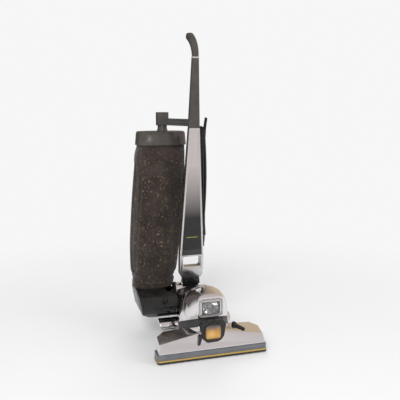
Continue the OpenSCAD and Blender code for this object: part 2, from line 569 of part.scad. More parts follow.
// Height of the hood's outer face at a place in plan.
function hood_face(x, y) =
  let (t = (y - hood_y0) / (hood_back - hood_y0),
       k = max([for (i = [0:len(hood_sections) - 2]) hood_sections[i][0] <= t ? i : 0]),
       f = (t - hood_sections[k][0]) / (hood_sections[k + 1][0] - hood_sections[k][0]),
       s = lerp(hood_sections[k], hood_sections[k + 1], f), base = band_top_z(y))
  base + (crown_z - s[2] - base) * pow(1 - pow(abs(x) / (body_w / 2 * s[1]), s[3]), 1 / s[3]);
knob_x = -28;
knob_y = 46;
module cap_knob() color(polished)
  translate([knob_x, knob_y, hood_face(knob_x, knob_y) + 0.15])
    rotate([atan(hood_face(knob_x, knob_y + 0.5) - hood_face(knob_x, knob_y - 0.5)),
            atan(hood_face(knob_x - 0.5, knob_y) - hood_face(knob_x + 0.5, knob_y)), 0]) {
      cylinder(r1 = 11, r2 = 9, h = 4);
      translate([0, 0, 3.9]) rotate_extrude()
        polygon(rounded([[0, 0], [9, 0], [9, 2.6], [2.4, 4.4], [0, 4.4]], [0, 0, 3, 4, 0]));
    }

// ---------- chassis ----------
function chassis_plan(d) = let (w = chassis_w / 2) rounded([
  [-w + d, chassis_y0 + d], [w - d, chassis_y0 + d], [w - d, chassis_y1 - 14 - d], [w - 16 - d, chassis_y1 - d],
  [-w + 16 + d, chassis_y1 - d], [-w + d, chassis_y1 - 14 - d]], [6 - d, 6 - d, 8, 8, 8, 8]);
chassis_h = shaft_z - 4;
module chassis() color(polished) difference() {
  union() {
    difference() {
      translate([0, 0, floor_z]) linear_extrude(chassis_h - floor_z) polygon(chassis_plan(0));
      translate([0, 0, floor_z + 3]) linear_extrude(chassis_h) polygon(chassis_plan(3.5));
    }
    // pillars of the handle bracket and its two ears
    both() hull() {
      rod_x(knuckle_r - 1, knuckle_w / 2 + seat_gap, neck_w / 2 - 1, pivot[1], pivot[2]);
      block([knuckle_w / 2 + seat_gap, pivot[1] - 34, chassis_h - 20], [neck_w / 2 - 1, chassis_y1 - 4, chassis_h - 18]);
    }
    // lugs of the two pedals
    for (s = [-1, 1], e = [-1, 1])
      block([s * 38 + e * 7 - 1.8, pedal_y - 5, floor_z + 17], [s * 38 + e * 7 + 1.8, chassis_y1 - 2, floor_z + 31]);
    // posts of the wheel carriage pivot
    both() block([chassis_w / 2 - 9, 160, floor_z + 2], [chassis_w / 2 - 3, 176, floor_z + 22]);
  }
  rod_x(pin_r + run_gap, -60, 60, pivot[1], pivot[2]);
  rod_x(axle_r + run_gap, -90, 90, rear_axle_y, rear_wheel_r);
  rod_x(3 + run_gap, -90, 90, 168, floor_z + 15);
  // wheel well, and the hole round the front bearing's boss
  block([-50, chassis_y0 + 4, 0], [50, front_axle_y + 38, floor_z + 4]);
  rod_y(20.5, chassis_y0 - 1, chassis_y0 + 8, 0, shaft_z);
  // notches for the pedals' stems, and their pivots
  for (s = [-1, 1]) {
    block([s * 38 - 5, chassis_y1 - 20, floor_z + 12], [s * 38 + 5, chassis_y1 + 1, floor_z + 34]);
    rod_x(2 + run_gap, s * 38 - 8, s * 38 + 8, pedal_y, floor_z + 24);
  }
}
pedal_y = chassis_y1 - 14;
cover_y0 = hood_back + 1;
cover_top = shaft_z + 76;
module cover_mass(d) {
  intersection() {
    translate([0, 0, chassis_h + eps]) linear_extrude(120) polygon(chassis_plan(d));
    along_y(cover_y0 + d, chassis_y1 - 36 - d) polygon(rounded(mirror_x([
      [chassis_w / 2 - d, 0], [chassis_w / 2 - d, shaft_z + 48], [chassis_w / 2 - 26 - d * 0.6, cover_top - d]]),
      [0, 14, 16, 16, 14, 0]));
  }
}
module motor_cover() color(black) difference() {
  cover_mass(0);
  difference() { cover_mass(2.5); block([-100, 0, 0], [100, 1, 1]); }
  translate([0, 0, -3]) cover_mass(2.5);
  // cooling slots along both flanks
  for (k = [0:5]) block([-90, cover_y0 + 9 + 10 * k, shaft_z + 8], [90, cover_y0 + 13 + 10 * k, shaft_z + 16 + 2 * k]);
  along_y(0, 300) duct_section(-0.5);
  rod_y(axle_r + 2, 150, 260, 0, shaft_z);
  rod_y(motor_r + 1, cover_y0 - 1, cover_y0 + 3, 0, shaft_z);
}
module gearbox() color(charcoal) difference() {
  union() {
    along_x(-34, 34) polygon(rounded([[rear_axle_y - 26, floor_z + 3.3], [rear_axle_y + 26, floor_z + 3.3],
      [rear_axle_y + 26, 42], [rear_axle_y + 10, 50 - 1], [rear_axle_y - 26, 46]], [3, 3, 6, 6, 6]));
    for (k = [-2:2]) block([k * 12 - 1.5, rear_axle_y - 24, 40], [k * 12 + 1.5, rear_axle_y + 12, 50]);
  }
  rod_x(axle_r + run_gap, -60, 60, rear_axle_y, rear_wheel_r);
}

// ---------- wheels ----------
rear_wheel_x0 = chassis_w / 2 + 6;
module rear_axle() color(steel)
  rod_x(axle_r, -rear_wheel_x0 - rear_wheel_w - 3, rear_wheel_x0 + rear_wheel_w + 3, rear_axle_y, rear_wheel_r);
module rear_wheels() color(black) both() difference() {
  x1 = rear_wheel_x0 + rear_wheel_w;
  translate([rear_wheel_x0, rear_axle_y, rear_wheel_r]) rotate([0, 90, 0]) rotate_extrude()
    polygon(rounded([[0, 0], [rear_wheel_r, 0], [rear_wheel_r, rear_wheel_w], [0, rear_wheel_w]], [0, 4, 6, 0], 3));
  rod_x(axle_r + run_gap, rear_wheel_x0 - 1, x1 + 1, rear_axle_y, rear_wheel_r);
  // dished hub
  difference() {
    rod_x(rear_wheel_r - 7, x1 - 6, x1 + 1, rear_axle_y, rear_wheel_r);
    rod_x(axle_r + 5, x1 - 8, x1 + 2, rear_axle_y, rear_wheel_r);
  }
}
// Polished skirts over the rear wheels.
module rear_fenders() color(polished) both() difference() {
  x1 = rear_wheel_x0 + rear_wheel_w + 18;
  rod_x(rear_wheel_r + 5.5, chassis_w / 2 + 0.1, x1, rear_axle_y, rear_wheel_r);
  rod_x(rear_wheel_r + 2.5, chassis_w / 2 + 3, x1 - 2.5, rear_axle_y, rear_wheel_r);
  block([0, 0, -10], [x1 + 1, 400, 19]);
  // the outer end is cut on a slant
  along_y(0, 400) polygon([[x1 - 15, 0], [x1 + 3, 60], [x1 + 20, 60], [x1 + 20, 0]]);
  rod_x(axle_r + 1, 0, x1 + 2, rear_axle_y, rear_wheel_r);
}
module wheel_carriage() color(charcoal) {
  both() along_x(42, 47) polygon(rounded([[front_axle_y - 9, floor_z + 1], [front_axle_y + 4, floor_z - 2],
    [174, floor_z + 9], [174, floor_z + 21], [162, floor_z + 21], [front_axle_y - 4, floor_z + 14]], 4));
  block([-43, 160, floor_z + 11], [43, 168, floor_z + 17]);
  rod_x(3, -chassis_w / 2 + 1, chassis_w / 2 - 1, 168, floor_z + 15);
  rod_x(3, -49, 49, front_axle_y, front_wheel_r + 1);
}
module front_wheels() color(black) both() difference() {
  translate([26, front_axle_y, front_wheel_r + 1]) rotate([0, 90, 0]) rotate_extrude()
    polygon(rounded([[0, 0], [front_wheel_r, 0], [front_wheel_r, 15], [0, 15]], [0, 2.5, 2.5, 0], 3));
  rod_x(3 + run_gap, 20, 50, front_axle_y, front_wheel_r + 1);
}
module pedal(x, w) {
  y1 = chassis_y1 + 40;
  difference() {
    union() {
      along_x(x - w / 2, x + w / 2) polygon(rounded([[chassis_y1 + 8, floor_z + 24], [y1 - 3, floor_z + 12],
        [y1, floor_z + 15], [y1 - 4, floor_z + 19], [chassis_y1 + 8, floor_z + 30]], [2, 1, 2, 2, 2]));
      block([x - 4, chassis_y1 - 16, floor_z + 20], [x + 4, chassis_y1 + 10, floor_z + 28]);
      rod_x(4, x - 4, x + 4, pedal_y, floor_z + 24);
      rod_x(2, x - 7.5, x + 7.5, pedal_y, floor_z + 24);
    }
    for (k = [0:4]) block([x - w / 2 + 3, chassis_y1 + 14 + 5 * k, floor_z + 29.2 - 2.05 * k],
                          [x + w / 2 - 3, chassis_y1 + 16 + 5 * k, floor_z + 40]);
  }
}
module height_pedal() color(charcoal) pedal(38, 34);
module drive_pedal() color(charcoal) pedal(-38, 30);

// ---------- exhaust ----------
module exhaust_duct() color(polished) difference() {
  union() {
    along_y(fan_y1 + seat_gap, pivot[1] - 12) duct_section(0);
    rod_x(port_r, port_x[0], port_x[1], pivot[1], pivot[2]);
    rod_x(port_r + 3, port_x[0], port_x[0] + 4, pivot[1], pivot[2]);
  }
  along_y(fan_y1 - 1, pivot[1]) duct_section(2.5);
  rod_x(port_r - 4, port_x[0] - 1, port_x[1] - 3, pivot[1], pivot[2]);
}
module handle_pin() color(steel) rod_x(pin_r, -neck_w / 2 + 0.5, neck_w / 2 - 0.5, pivot[1], pivot[2]);

// ---------- handle, in its own frame: pivot at the origin, +Z along the handle ----------
module handle_neck() color(black) handle_frame_of_reference() difference() {
  union() {
    rod_x(knuckle_r, -knuckle_w / 2, knuckle_w / 2, 0, 0);
    along_y(-14, 14) polygon(rounded([[-knuckle_w/2, 0], [knuckle_w/2, 0], [knuckle_w/2, 21], [neck_w/2, 23],
      [neck_w/2 - 3, frame_z0 - seat_gap], [-neck_w/2 + 3, frame_z0 - seat_gap], [-neck_w/2, 23], [-knuckle_w/2, 21]],
      [0, 0, 1.5, 3, 2, 2, 3, 1.5]));
    block([-15, -6, frame_z0 - 2], [15, 6, frame_z0 + 18]);
  }
  rod_x(pin_r + 2 * run_gap, -60, 60, 0, 0);
  rod_z(3.6, 0, frame_z0 + 30, 0, 0);
}
function frame_outline(d) = mirror_x([[frame_w/2 - 8 - d, frame_z0 + d], [frame_w/2 - 1 - d, frame_z0 + 15],
  [frame_w/2 - d, loop_z1], [knee_w/2 - d, knee_z], [frame_top_w/2 - d, frame_z1 - d]]);
function side_x(z) = z > knee_z ? lerp(knee_w, frame_top_w, (z - knee_z) / (frame_z1 - knee_z)) / 2
                                : lerp(frame_w, knee_w, (z - loop_z1) / (knee_z - loop_z1)) / 2;
function panel_outline(z0, z1, d) = mirror_x([[side_x(z0) - d, z0], [knee_w/2 - d, knee_z], [side_x(z1) - d, z1]]);
panel_z = [loop_z1 + 5, frame_z1 - 8];
rail_t = 6.5;
module handle_frame() color(steel) handle_frame_of_reference() difference() {
  along_y(-frame_t / 2, frame_t / 2) polygon(rounded(frame_outline(0), [7, 10, 60, 200, 3, 3, 200, 60, 10, 7]));
  // carrying loop
  along_y(-frame_t, frame_t) polygon(rounded(mirror_x([[frame_w/2 - 12.5, loop_z0], [frame_w/2 - 12.5, loop_z1]]), 7));
  // pockets for the front panel and the back cover, with the wire's channel between them
  along_y(-frame_t, -frame_t/2 + 5) polygon(panel_outline(panel_z[0], panel_z[1], rail_t));
  along_y(-frame_t/2 + 7, frame_t) polygon(panel_outline(panel_z[0], panel_z[1], rail_t));
  // socket of the neck's tongue and the wire's way up
  block([-15 - seat_gap, -6 - seat_gap, frame_z0 - 1], [15 + seat_gap, 6 + seat_gap, frame_z0 + 18 + seat_gap]);
  rod_z(2.9, panel_z[1] - 30, frame_z1 + 1, 0, 3);
}
module handle_panel() color([0.35, 0.34, 0.33]) handle_frame_of_reference()
  along_y(-frame_t/2 + 1, -frame_t/2 + 5 - 0.1) polygon(panel_outline(panel_z[0] + 0.2, panel_z[1] - 0.2, rail_t + 0.2));
post_x = [4, 12.5];
module handle_back() color(black) handle_frame_of_reference() difference() {
  union() {
    along_y(frame_t/2 - 3.5, frame_t/2 - 0.5) polygon(panel_outline(panel_z[0] + 0.2, panel_z[1] - 0.2, rail_t + 0.2));
    // posts that carry the two cord hooks
    for (z = [lower_peg_z, upper_peg_z]) along_x(post_x[0], post_x[1])
      polygon(rounded([[frame_t/2 - 2, z - 17], [hank_y + 9, z - 7], [hank_y + 9, z + 7], [frame_t/2 - 2, z + 17]], [0, 7, 7, 0]));
  }
  for (z = [panel_z[0] + 14, knee_z + 26, panel_z[1] - 34])
    translate([-4, frame_t/2, z]) rotate([90, 0, 0]) cylinder(r1 = 4, r2 = 2, h = 2);
  for (z = [lower_peg_z, upper_peg_z]) rod_x(4 + run_gap, 0, 20, hank_y, z);
}
module handle_wire() color([0.8, 0.8, 0.8]) handle_frame_of_reference()
  rod_z(2.6, panel_z[0] + 4, upper_z1 - 65, 0, 3);
function upper_ring(z, w, t, y) = at_z(rect(w, t, min(w, t) * 0.32), z, [0, y]);
upper_rings = [[0, frame_top_w + 2, frame_t + 3, 0], [10, frame_top_w + 2, frame_t + 3, 0],
  [36, frame_top_w - 1, frame_t + 2.4, 0], [upper_l * 0.55, 31, 25.5, 0], [upper_l, 24, 23, 0]];
module upper_handle() color(black) handle_frame_of_reference() difference() {
  union() {
    loft([for (r = upper_rings) upper_ring(frame_z1 + seat_gap + r[0], r[1], r[2], r[3])]);
  }
  rod_z(2.9, frame_z1 - 1, upper_z1 - 56, 0, 3);
  // window of the rocker switch, on the user's side
  block([-7.3, 0, upper_z1 - 66], [7.3, 30, upper_z1 - 34]);
  // socket of the bag arm
  block([-10.3, 5.9, arm_z - 0.3], [10.3, 40, arm_z + 26.3]);
}
module grip_collar() color([0.62, 0.62, 0.62]) handle_frame_of_reference()
  loft([for (k = [0, 1]) upper_ring(upper_z1 + seat_gap * 2 + 5 * k, 25 - k, 24 - k, 0)]);
grip_line = [[0, 0], [0, 34], [44, 60], [89, 70]];
function grip_ring(t, n = 24) =
  let (c = bezier(grip_line, t), d = unit(bezier(grip_line, min(1, t + 0.01)) - bezier(grip_line, max(0, t - 0.01))),
       w = t > 0.93 ? 21 : lerp(23, 29, t), h = t > 0.93 ? 19 : lerp(22, 27, t))
  [for (p = oval(w / 2, h / 2, 2.6, n)) [p[0], c[0] + p[1] * d[1], upper_z1 + 6 + c[1] - p[1] * d[0]]];
module grip() color(black) handle_frame_of_reference()
  loft([for (t = [0, 0.08, 0.2, 0.35, 0.5, 0.65, 0.8, 0.9, 0.96, 1]) grip_ring(t)]);
module power_switch() color([0.25, 0.25, 0.25]) handle_frame_of_reference() translate([0, 5, upper_z1 - 50]) {
  difference() {
    union() {
      along_x(-6.8, 6.8) polygon(rounded([[2, -14], [8.5, -14], [7.5, 0], [11.5, 14], [2, 14], [-2, 0]], [1, 1.5, 6, 1.5, 1, 2]));
    }
    rod_x(1.5, -8, 8, 2, 0);
  }
}

// ---------- bag arm and cord hooks ----------
hang_c = [-77, 360];                       // the bag's hanging point in plan
module bag_arm() color(black) {
  // stub that seats in the upper handle, then a level bar to the hanger block
  handle_frame_of_reference() block([-10, 6.2, arm_z], [10, 20, arm_z + 26]);
  z0 = hang_z[0] + 1;
  a = [0, pivot[1] - sin(lean) * arm_z + 25];
  d = unit(hang_c - a);
  n = [-d[1], d[0]];
  difference() {
    union() {
      linear_extrude_at(z0, 25) polygon([a + n * 10, a - n * 10, hang_c - n * 10, hang_c + n * 10]);
      rod_z(10, z0, z0 + 25, a[0], a[1]);
      linear_extrude_at(hang_z[0], hang_z[1] - hang_z[0]) translate(hang_c) polygon(rect(43, 36, 6));
    }
    // socket for the bag's hanging stem
    rod_z(9.3, hang_z[0] - 1, hang_z[0] + 30, hang_c[0], hang_c[1]);
    // lightening grooves along both flanks of the bar
    for (s = [-1, 1], dz = [5, 15])
      linear_extrude_at(z0 + dz, 5) polygon([for (q = [[20, 8.5], [20, 11], [norm(hang_c - a) - 30, 11], [norm(hang_c - a) - 30, 8.5]])
        a + d * q[0] + n * s * q[1]]);
  }
}
// A flanged peg whose tall lip keeps the turns on; tip is the lip's reach from the peg's centre.
module hook(x1, z, tip) {
  side = sign(tip);
  translate([0, hank_y, z]) {
    rod_x(peg_r, post_x[1] + seat_gap + 2, x1, 0, 0);
    rod_x(11, post_x[1] + seat_gap, post_x[1] + seat_gap + 3, 0, 0);
    rod_x(4, post_x[0] + 1, post_x[1] + 1, 0, 0);
    translate([x1 - 1, 0, 0]) along_y(-9, 9)
      polygon(rounded([[0, -side * peg_r], [5, -side * peg_r], [6, side * 24], [10, tip], [5, tip], [0, side * 26]],
        [1, 3, 20, 2, 2, 20]));
  }
}
module upper_cord_hook() color(black) handle_frame_of_reference() hook(hank_x + hank_t + 3, upper_peg_z, 62);
module lower_cord_hook() color(black) handle_frame_of_reference() hook(hank_x + hank_t + 9, lower_peg_z, -72);

// ---------- bag ----------
// Side and front outlines of the moulded elbow that swivels on the exhaust port.
emptor_r = pivot[2] - 2 * rear_wheel_r - 1;    // the elbow swings over the rear wheels
function emptor_side(d) = rounded(concat(
  [for (a = [200:10:300]) [pivot[1] + (emptor_r - d) * cos(a), pivot[2] + (emptor_r - d) * sin(a)]],
  [[352 - d, 122 + d * 0.5], [360 - d, 146 - d], [360 - d, emptor_top - d], [256 + d, emptor_top - d],
   [shoulder_end[0] + d, shoulder_end[1] - d * 0.6]]), 0);
function emptor_front(d) = rounded([[emptor_x - d, 45], [emptor_x - d, 144], [emptor_x - 2 - d, emptor_top + 2],
  [-202 + d, emptor_top + 2], [-203 + d, 144], [-198 + d, 90 + d * 0.5], [-148 + d * 0.6, 58 + d], [-140 + d * 0.6, 45]],
  [0, 6, 0, 0, 6, 10, 12, 0]);
module emptor_mass(d) {
  intersection() {
    along_x(-240, -20) polygon(emptor_side(d));
    along_y(100, 420) polygon(emptor_front(d));
  }
}
module emptor() color(black) difference() {
  union() {
    emptor_mass(0);
    rod_x(port_r - 4 - seat_gap, emptor_x - 1, port_x[0] + 18, pivot[1], pivot[2]);
    rod_x(port_r + 1, emptor_x - 0.5, emptor_x + 1.5, pivot[1], pivot[2]);
    linear_extrude_at(emptor_top - 3, 27) translate(cuff_c) polygon(oval(cuff_r[0], cuff_r[1], 2.6, 36));
  }
  emptor_mass(2.5);
  linear_extrude_at(emptor_top - 4, 34) translate(cuff_c) polygon(oval(cuff_r[0] - 3, cuff_r[1] - 3, 2.6, 36));
  rod_x(port_r - 8, emptor_x - 30, port_x[0] + 19, pivot[1], pivot[2]);
}
// The lid knob stands square on the elbow's sloping front shoulder.
shoulder_end = [202, 148];
shoulder = [[pivot[1] + emptor_r * cos(200), pivot[2] + emptor_r * sin(200)], shoulder_end];
shoulder_turn = 90 - atan2(shoulder[1][0] - shoulder[0][0], shoulder[1][1] - shoulder[0][1]);
knob_at = [-112, lerp(shoulder[0][0], shoulder[1][0], 0.52), lerp(shoulder[0][1], shoulder[1][1], 0.52)];
module emptor_knob() color(black) translate(knob_at) rotate([shoulder_turn, 0, 0]) translate([0, 0, seat_gap]) {
  cylinder(r = 11, h = 3);
  translate([0, 0, 2.9]) cylinder(r1 = 6, r2 = 7, h = 5);
  translate([0, 0, 12]) sphere(r = 8.5);
}
// Heights above the elbow are those of a bag of 530 mm and stretch with the bag.
function up(rise) = emptor_top + rise * (cap_z0 - emptor_top) / 530;
// [height, centre x, centre y, half width share, half depth share]
bag_rings = [[emptor_top + 1.5, -131.5, 314, 0.772, 0.73], [up(16), -131, 314, 0.795, 0.75],
  [up(48), -130, 315, 0.845, 0.82], [up(84), -128, 317, 0.875, 0.9], [up(174), -121, 328, 0.94, 0.99],
  [up(291), -107, 340, 1, 1.01], [up(404), -95, 351, 1.01, 1], [up(484), -90, 357, 1, 0.95],
  [up(510), -87, 359, 0.98, 0.89]];
function bag_ring(r, d) = at_z(oval(bag_w / 2 * r[3] - d, bag_d / 2 * r[4] - d, 2.5, 36), r[0], [r[1], r[2]]);
function cap_ring(z, d, n = 36) = at_z(oval(cap_r[0] - d, cap_r[1] - d, 2.6, n), z, cap_c);
module bag_cloth() color([0.20, 0.18, 0.17]) difference() {
  loft(concat([for (r = bag_rings) bag_ring(r, 0)], [cap_ring(cap_z0 - 4, 3.1), cap_ring(cap_z0 + cap_h - 8, 3.1)]));
  // the hem's inner face is drawn in on the elbow's cuff
  loft(concat([for (z = [emptor_top, 168]) at_z(oval(cuff_r[0] + 0.7, cuff_r[1] + 0.7, 2.6, 36), z, cuff_c)],
    [for (k = [2:len(bag_rings) - 1]) bag_ring(bag_rings[k], 2)],
    [cap_ring(cap_z0 - 4, 5.1), cap_ring(cap_z0 + cap_h - 10, 5.1)]));
}
module paper_bag() color([0.80, 0.74, 0.62]) difference() {
  union() {
    loft([for (k = [3:7]) bag_ring(bag_rings[k], 16)]);
    linear_extrude_at(emptor_top + 24.3, 62) translate(cuff_c + [4, 4]) polygon(rect(56, 46, 10));
    // cardboard collar on the elbow's outlet
    linear_extrude_at(emptor_top + 24.3, 3) translate(cuff_c) polygon(oval(cuff_r[0] - 2, cuff_r[1] - 2, 2.6, 40));
  }
  loft([for (k = [3:7]) [for (p = bag_ring(bag_rings[k], 17.5)) p + [0, 0, k == 3 ? 1.5 : k == 7 ? -1.5 : 0]]]);
  linear_extrude_at(emptor_top + 23, 66) translate(cuff_c + [4, 4]) polygon(rect(53, 43, 9));
}
module bag_cap() color(black) {
  difference() {
    loft([cap_ring(cap_z0, -5, 40), cap_ring(cap_z0 + 4, -4, 40), cap_ring(cap_z0 + cap_h - 5, -0.6, 40),
          cap_ring(cap_z0 + cap_h, 3, 40)]);
    linear_extrude_at(cap_z0 - 1, cap_h - 2) translate(cap_c) polygon(oval(cap_r[0] - 2.4, cap_r[1] - 2.4, 2.6, 40));
  }
  // flared foot and stem that hang the bag
  translate([hang_c[0], hang_c[1], cap_z0 + cap_h - 1]) rotate_extrude() {
    rise = hang_z[0] - cap_z0 - cap_h + 1;
    polygon([[0, 0], [22, 0], [22, 1], [19, 6], [17.5, 13], [17.5, rise - seat_gap], [9, rise - seat_gap], [9, rise + 26], [0, rise + 26]]);
  }
}
module linear_extrude_at(z, h) { translate([0, 0, z]) linear_extrude(h) children(); }

// ---------- mains cord ----------
module hank_place() {
  handle_frame_of_reference() translate([hank_x, hank_y, hank_z1]) rotate([0, -hank_tilt, 0]) children();
}
hank_l = hank_z1 - hank_z0;
// The turns lie close at the hooks and bow outwards between them.
module cord_hank() color([0.09, 0.09, 0.09]) hank_place() intersection() {
  along_x(0, hank_t + hank_bow) difference() {
    union() {
      circle(r = hank_out);
      translate([0, -hank_l]) circle(r = hank_out);
      translate([-hank_out, -hank_l]) square([2 * hank_out, hank_l]);
    }
    circle(r = hank_in);
    translate([0, -hank_l]) circle(r = hank_in);
    translate([-hank_in, -hank_l]) square([2 * hank_in, hank_l]);
  }
  along_y(-hank_out - 1, hank_out + 1) polygon(rounded([[-1, -hank_l - hank_out - 1], [hank_t, -hank_l - hank_out - 1],
    [hank_t, -hank_l], [hank_t + hank_bow, -hank_l * 0.62], [hank_t + hank_bow, -hank_l * 0.38], [hank_t, 0],
    [hank_t, hank_out + 1], [-1, hank_out + 1]], [0, 0, 30, 60, 60, 30, 0, 0]));
}
relief_base = [44.5, 4, 165];
relief_turn = [-12, 14, 0];
module cord_relief() color(black) handle_frame_of_reference() difference() {
  translate(relief_base) rotate(relief_turn) {
    cylinder(r = 7, h = 4);
    cylinder(r1 = 6, r2 = 4.4, h = 26);
  }
  along_y(-40, 40) polygon(frame_outline(-0.1));
}
// Centreline of the lead, from the strain relief into the bottom of the wound cord, in the handle's frame.
lead_points = [[50.8, 9.2, 189.6], [52.4, 12, 197], [53, 16.5, 205], [52, 22.5, 213], [49.4, 29, 221], [46, 34.5, 229],
  [43, 38, 237], [41, 40, 246]];
module cord_lead() color([0.09, 0.09, 0.09]) handle_frame_of_reference() sweep(lead_points, cord_d / 2, 10);
// The free end leaves the wound cord and drops into the plug clipped behind it, in the wound cord's frame.
tail_x = 3.5 * cord_d;
tail_points = [[tail_x, hank_out - 3, -150], [tail_x, hank_out + 1, -141], [tail_x, hank_out + 5, -131],
  [tail_x, hank_out + 8, -121], [tail_x, hank_out + 9, -110], [tail_x, hank_out + 9, -100]];
module cord_tail() color([0.09, 0.09, 0.09]) hank_place() sweep(tail_points, cord_d / 2, 10);
module cord_plug() color(black) hank_place() translate([tail_x, hank_out + 9, -100]) {
  along_y(-9, 9) polygon(rounded([[-8, 0], [8, 0], [13, 26], [13, 38], [-13, 38], [-13, 26]], [2, 2, 4, 2, 2, 4]));
  for (x = [-6.35, 6.35]) block([x - 0.8, -3.2, 37.9], [x + 0.8, 3.2, 55]);
}

nozzle_housing();
bumper_strip();
bumper_stripe();
sole_plate();
brush_roll();
brush_tufts();
roll_end_caps();
drive_belt();
nozzle_lock();
lifter_bezel();
lifter_knob();
lifter_window();
fan_housing();
fan_backplate();
fan();
armature();
stator();
shaft_bearings();
carbon_brushes();
body_band();
hood();
headlight_cap();
headlight_lens();
headlight_reflector();
headlight_bulb();
cap_knob();
chassis();
motor_cover();
gearbox();
rear_axle();
rear_wheels();
rear_fenders();
wheel_carriage();
front_wheels();
height_pedal();
drive_pedal();
exhaust_duct();
handle_pin();
handle_neck();
handle_frame();
handle_panel();
handle_back();
handle_wire();
upper_handle();
grip_collar();
grip();
power_switch();
bag_arm();
upper_cord_hook();
lower_cord_hook();
emptor();
emptor_knob();
bag_cloth();
paper_bag();
bag_cap();
cord_relief();
cord_lead();
cord_hank();
cord_tail();
cord_plug();
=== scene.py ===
"""The finishes, cord, cloth bag, camera and studio of an upright vacuum cleaner, round its CAD."""
import json
import math

import bmesh
import bpy
from mathutils import Matrix, Vector, noise


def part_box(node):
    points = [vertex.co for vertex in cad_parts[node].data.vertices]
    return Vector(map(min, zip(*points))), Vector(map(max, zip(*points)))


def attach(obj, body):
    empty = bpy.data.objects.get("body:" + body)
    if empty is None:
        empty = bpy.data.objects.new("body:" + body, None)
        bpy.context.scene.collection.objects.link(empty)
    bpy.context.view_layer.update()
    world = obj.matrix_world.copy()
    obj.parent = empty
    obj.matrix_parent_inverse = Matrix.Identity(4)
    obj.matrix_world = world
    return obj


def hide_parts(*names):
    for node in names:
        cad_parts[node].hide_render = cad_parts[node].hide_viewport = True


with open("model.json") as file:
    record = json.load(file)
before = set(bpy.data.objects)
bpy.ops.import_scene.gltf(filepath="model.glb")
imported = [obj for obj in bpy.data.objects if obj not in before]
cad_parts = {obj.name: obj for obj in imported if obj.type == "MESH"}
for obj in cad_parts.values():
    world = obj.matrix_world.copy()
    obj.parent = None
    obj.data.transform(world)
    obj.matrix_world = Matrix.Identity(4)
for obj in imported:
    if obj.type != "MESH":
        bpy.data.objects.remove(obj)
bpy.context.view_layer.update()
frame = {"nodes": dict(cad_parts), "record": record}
nodes = frame["nodes"]

# ---------- camera ----------
EYE = (-0.549, -1.743, 0.853)
EYE_TILT, EYE_TURN = math.radians(80.0), math.radians(-16.4)
FOCAL_LENGTH, SENSOR_WIDTH = 51.5, 36


def camera():
    data = bpy.data.cameras.new("camera")
    data.sensor_width = SENSOR_WIDTH
    data.lens = FOCAL_LENGTH
    eye = bpy.data.objects.new("camera", data)
    bpy.context.scene.collection.objects.link(eye)
    eye.location = EYE
    eye.rotation_euler = (EYE_TILT, 0, EYE_TURN)
    bpy.context.scene.camera = eye


camera()

# ---------- places that the CAD model gives ----------
SHAFT_Z, SHAFT_R = 0.092, 0.0135
BUMPER_LIP_Z = 0.0105
REAR_AXLE, FRONT_AXLE = (0.205, 0.028), (0.128, 0.016)      # y and z
HANDLE_PIVOT = (0, 0.254, 0.150)
HANDLE_LEAN = math.radians(5)
# The handle's own frame: its origin is the pivot and its Z runs up the handle.
HANDLE = Matrix.Translation(HANDLE_PIVOT) @ Matrix.Rotation(HANDLE_LEAN, 4, "X")
# The wound cord's frame: its origin is the upper hook's peg, and the lower peg is below it.
PEG_X, PEG_Y = 0.020, 0.047
UPPER_PEG, LOWER_PEG = 0.573, 0.2653
HANK_TWIST = math.radians(-1.1)
HANK = (HANDLE @ Matrix.Translation((PEG_X, PEG_Y, UPPER_PEG))
        @ Matrix.Rotation(HANK_TWIST, 4, "Y"))
# Heights in the hank's frame: the plug's blades are above the one, its finger ribs below the other.
PLUG_BLADES, PLUG_RIBS = -0.0618, -0.078
# Heights on the handle: the panel's dark foot, its yellow line, and its change to silver.
PANEL_FOOT, PANEL_LINE, PANEL_FADE = 0.158, 0.206, (0.275, 0.480)
# The belt window's painted rim shade, from its inner to its outer edge, measured from the shaft.
WINDOW_RIM_SHADE_X, WINDOW_RIM_SHADE_Z = (0.0195, 0.0265), (0.0165, 0.0235)

# ---------- shader maths ----------
# Places of a Mix node's sockets.
SHARE, FIRST_VECTOR, SECOND_VECTOR, FIRST_COLOUR, SECOND_COLOUR = 0, 4, 5, 6, 7
MIXED_VECTOR, MIXED_COLOUR = 1, 2


class Signal:
    """A shader value; arithmetic on it adds Math nodes to its graph."""

    def __init__(self, graph, socket):
        self.graph, self.socket = graph, socket

    def maths(self, operation, *values, clamp=False):
        settings = {"operation": operation, "use_clamp": clamp}
        return self.graph.node("ShaderNodeMath", settings, dict(enumerate(values)))

    def __add__(self, other):
        return self.maths("ADD", self, other)

    def __sub__(self, other):
        return self.maths("SUBTRACT", self, other)

    def __rsub__(self, other):
        return self.maths("SUBTRACT", other, self)

    def __mul__(self, other):
        return self.maths("MULTIPLY", self, other)

    def __pow__(self, other):
        return self.maths("POWER", self, other)

    def __gt__(self, other):
        return self.maths("GREATER_THAN", self, other)

    def __lt__(self, other):
        return self.maths("LESS_THAN", self, other)

    __radd__, __rmul__ = __add__, __mul__

    def size(self):
        return self.maths("ABSOLUTE", self)

    def either(self, other):
        """The larger of the two."""
        return self.maths("MAXIMUM", self, other)

    def over(self, low, high):
        """0 below low, 1 above high, straight between them."""
        return self.maths("MULTIPLY", self - low, 1 / (high - low), clamp=True)

    def ripples(self, turns):
        """A sine wave along the value, with so many radians to the metre."""
        return self.maths("SINE", self * turns)

    def ribs(self, pitch):
        """A sine wave along the value, with one crest to each pitch."""
        return self.ripples(2 * math.pi / pitch)


def reach(across, along):
    """The distance from the axis that both values are measured from."""
    return (across * across + along * along) ** 0.5


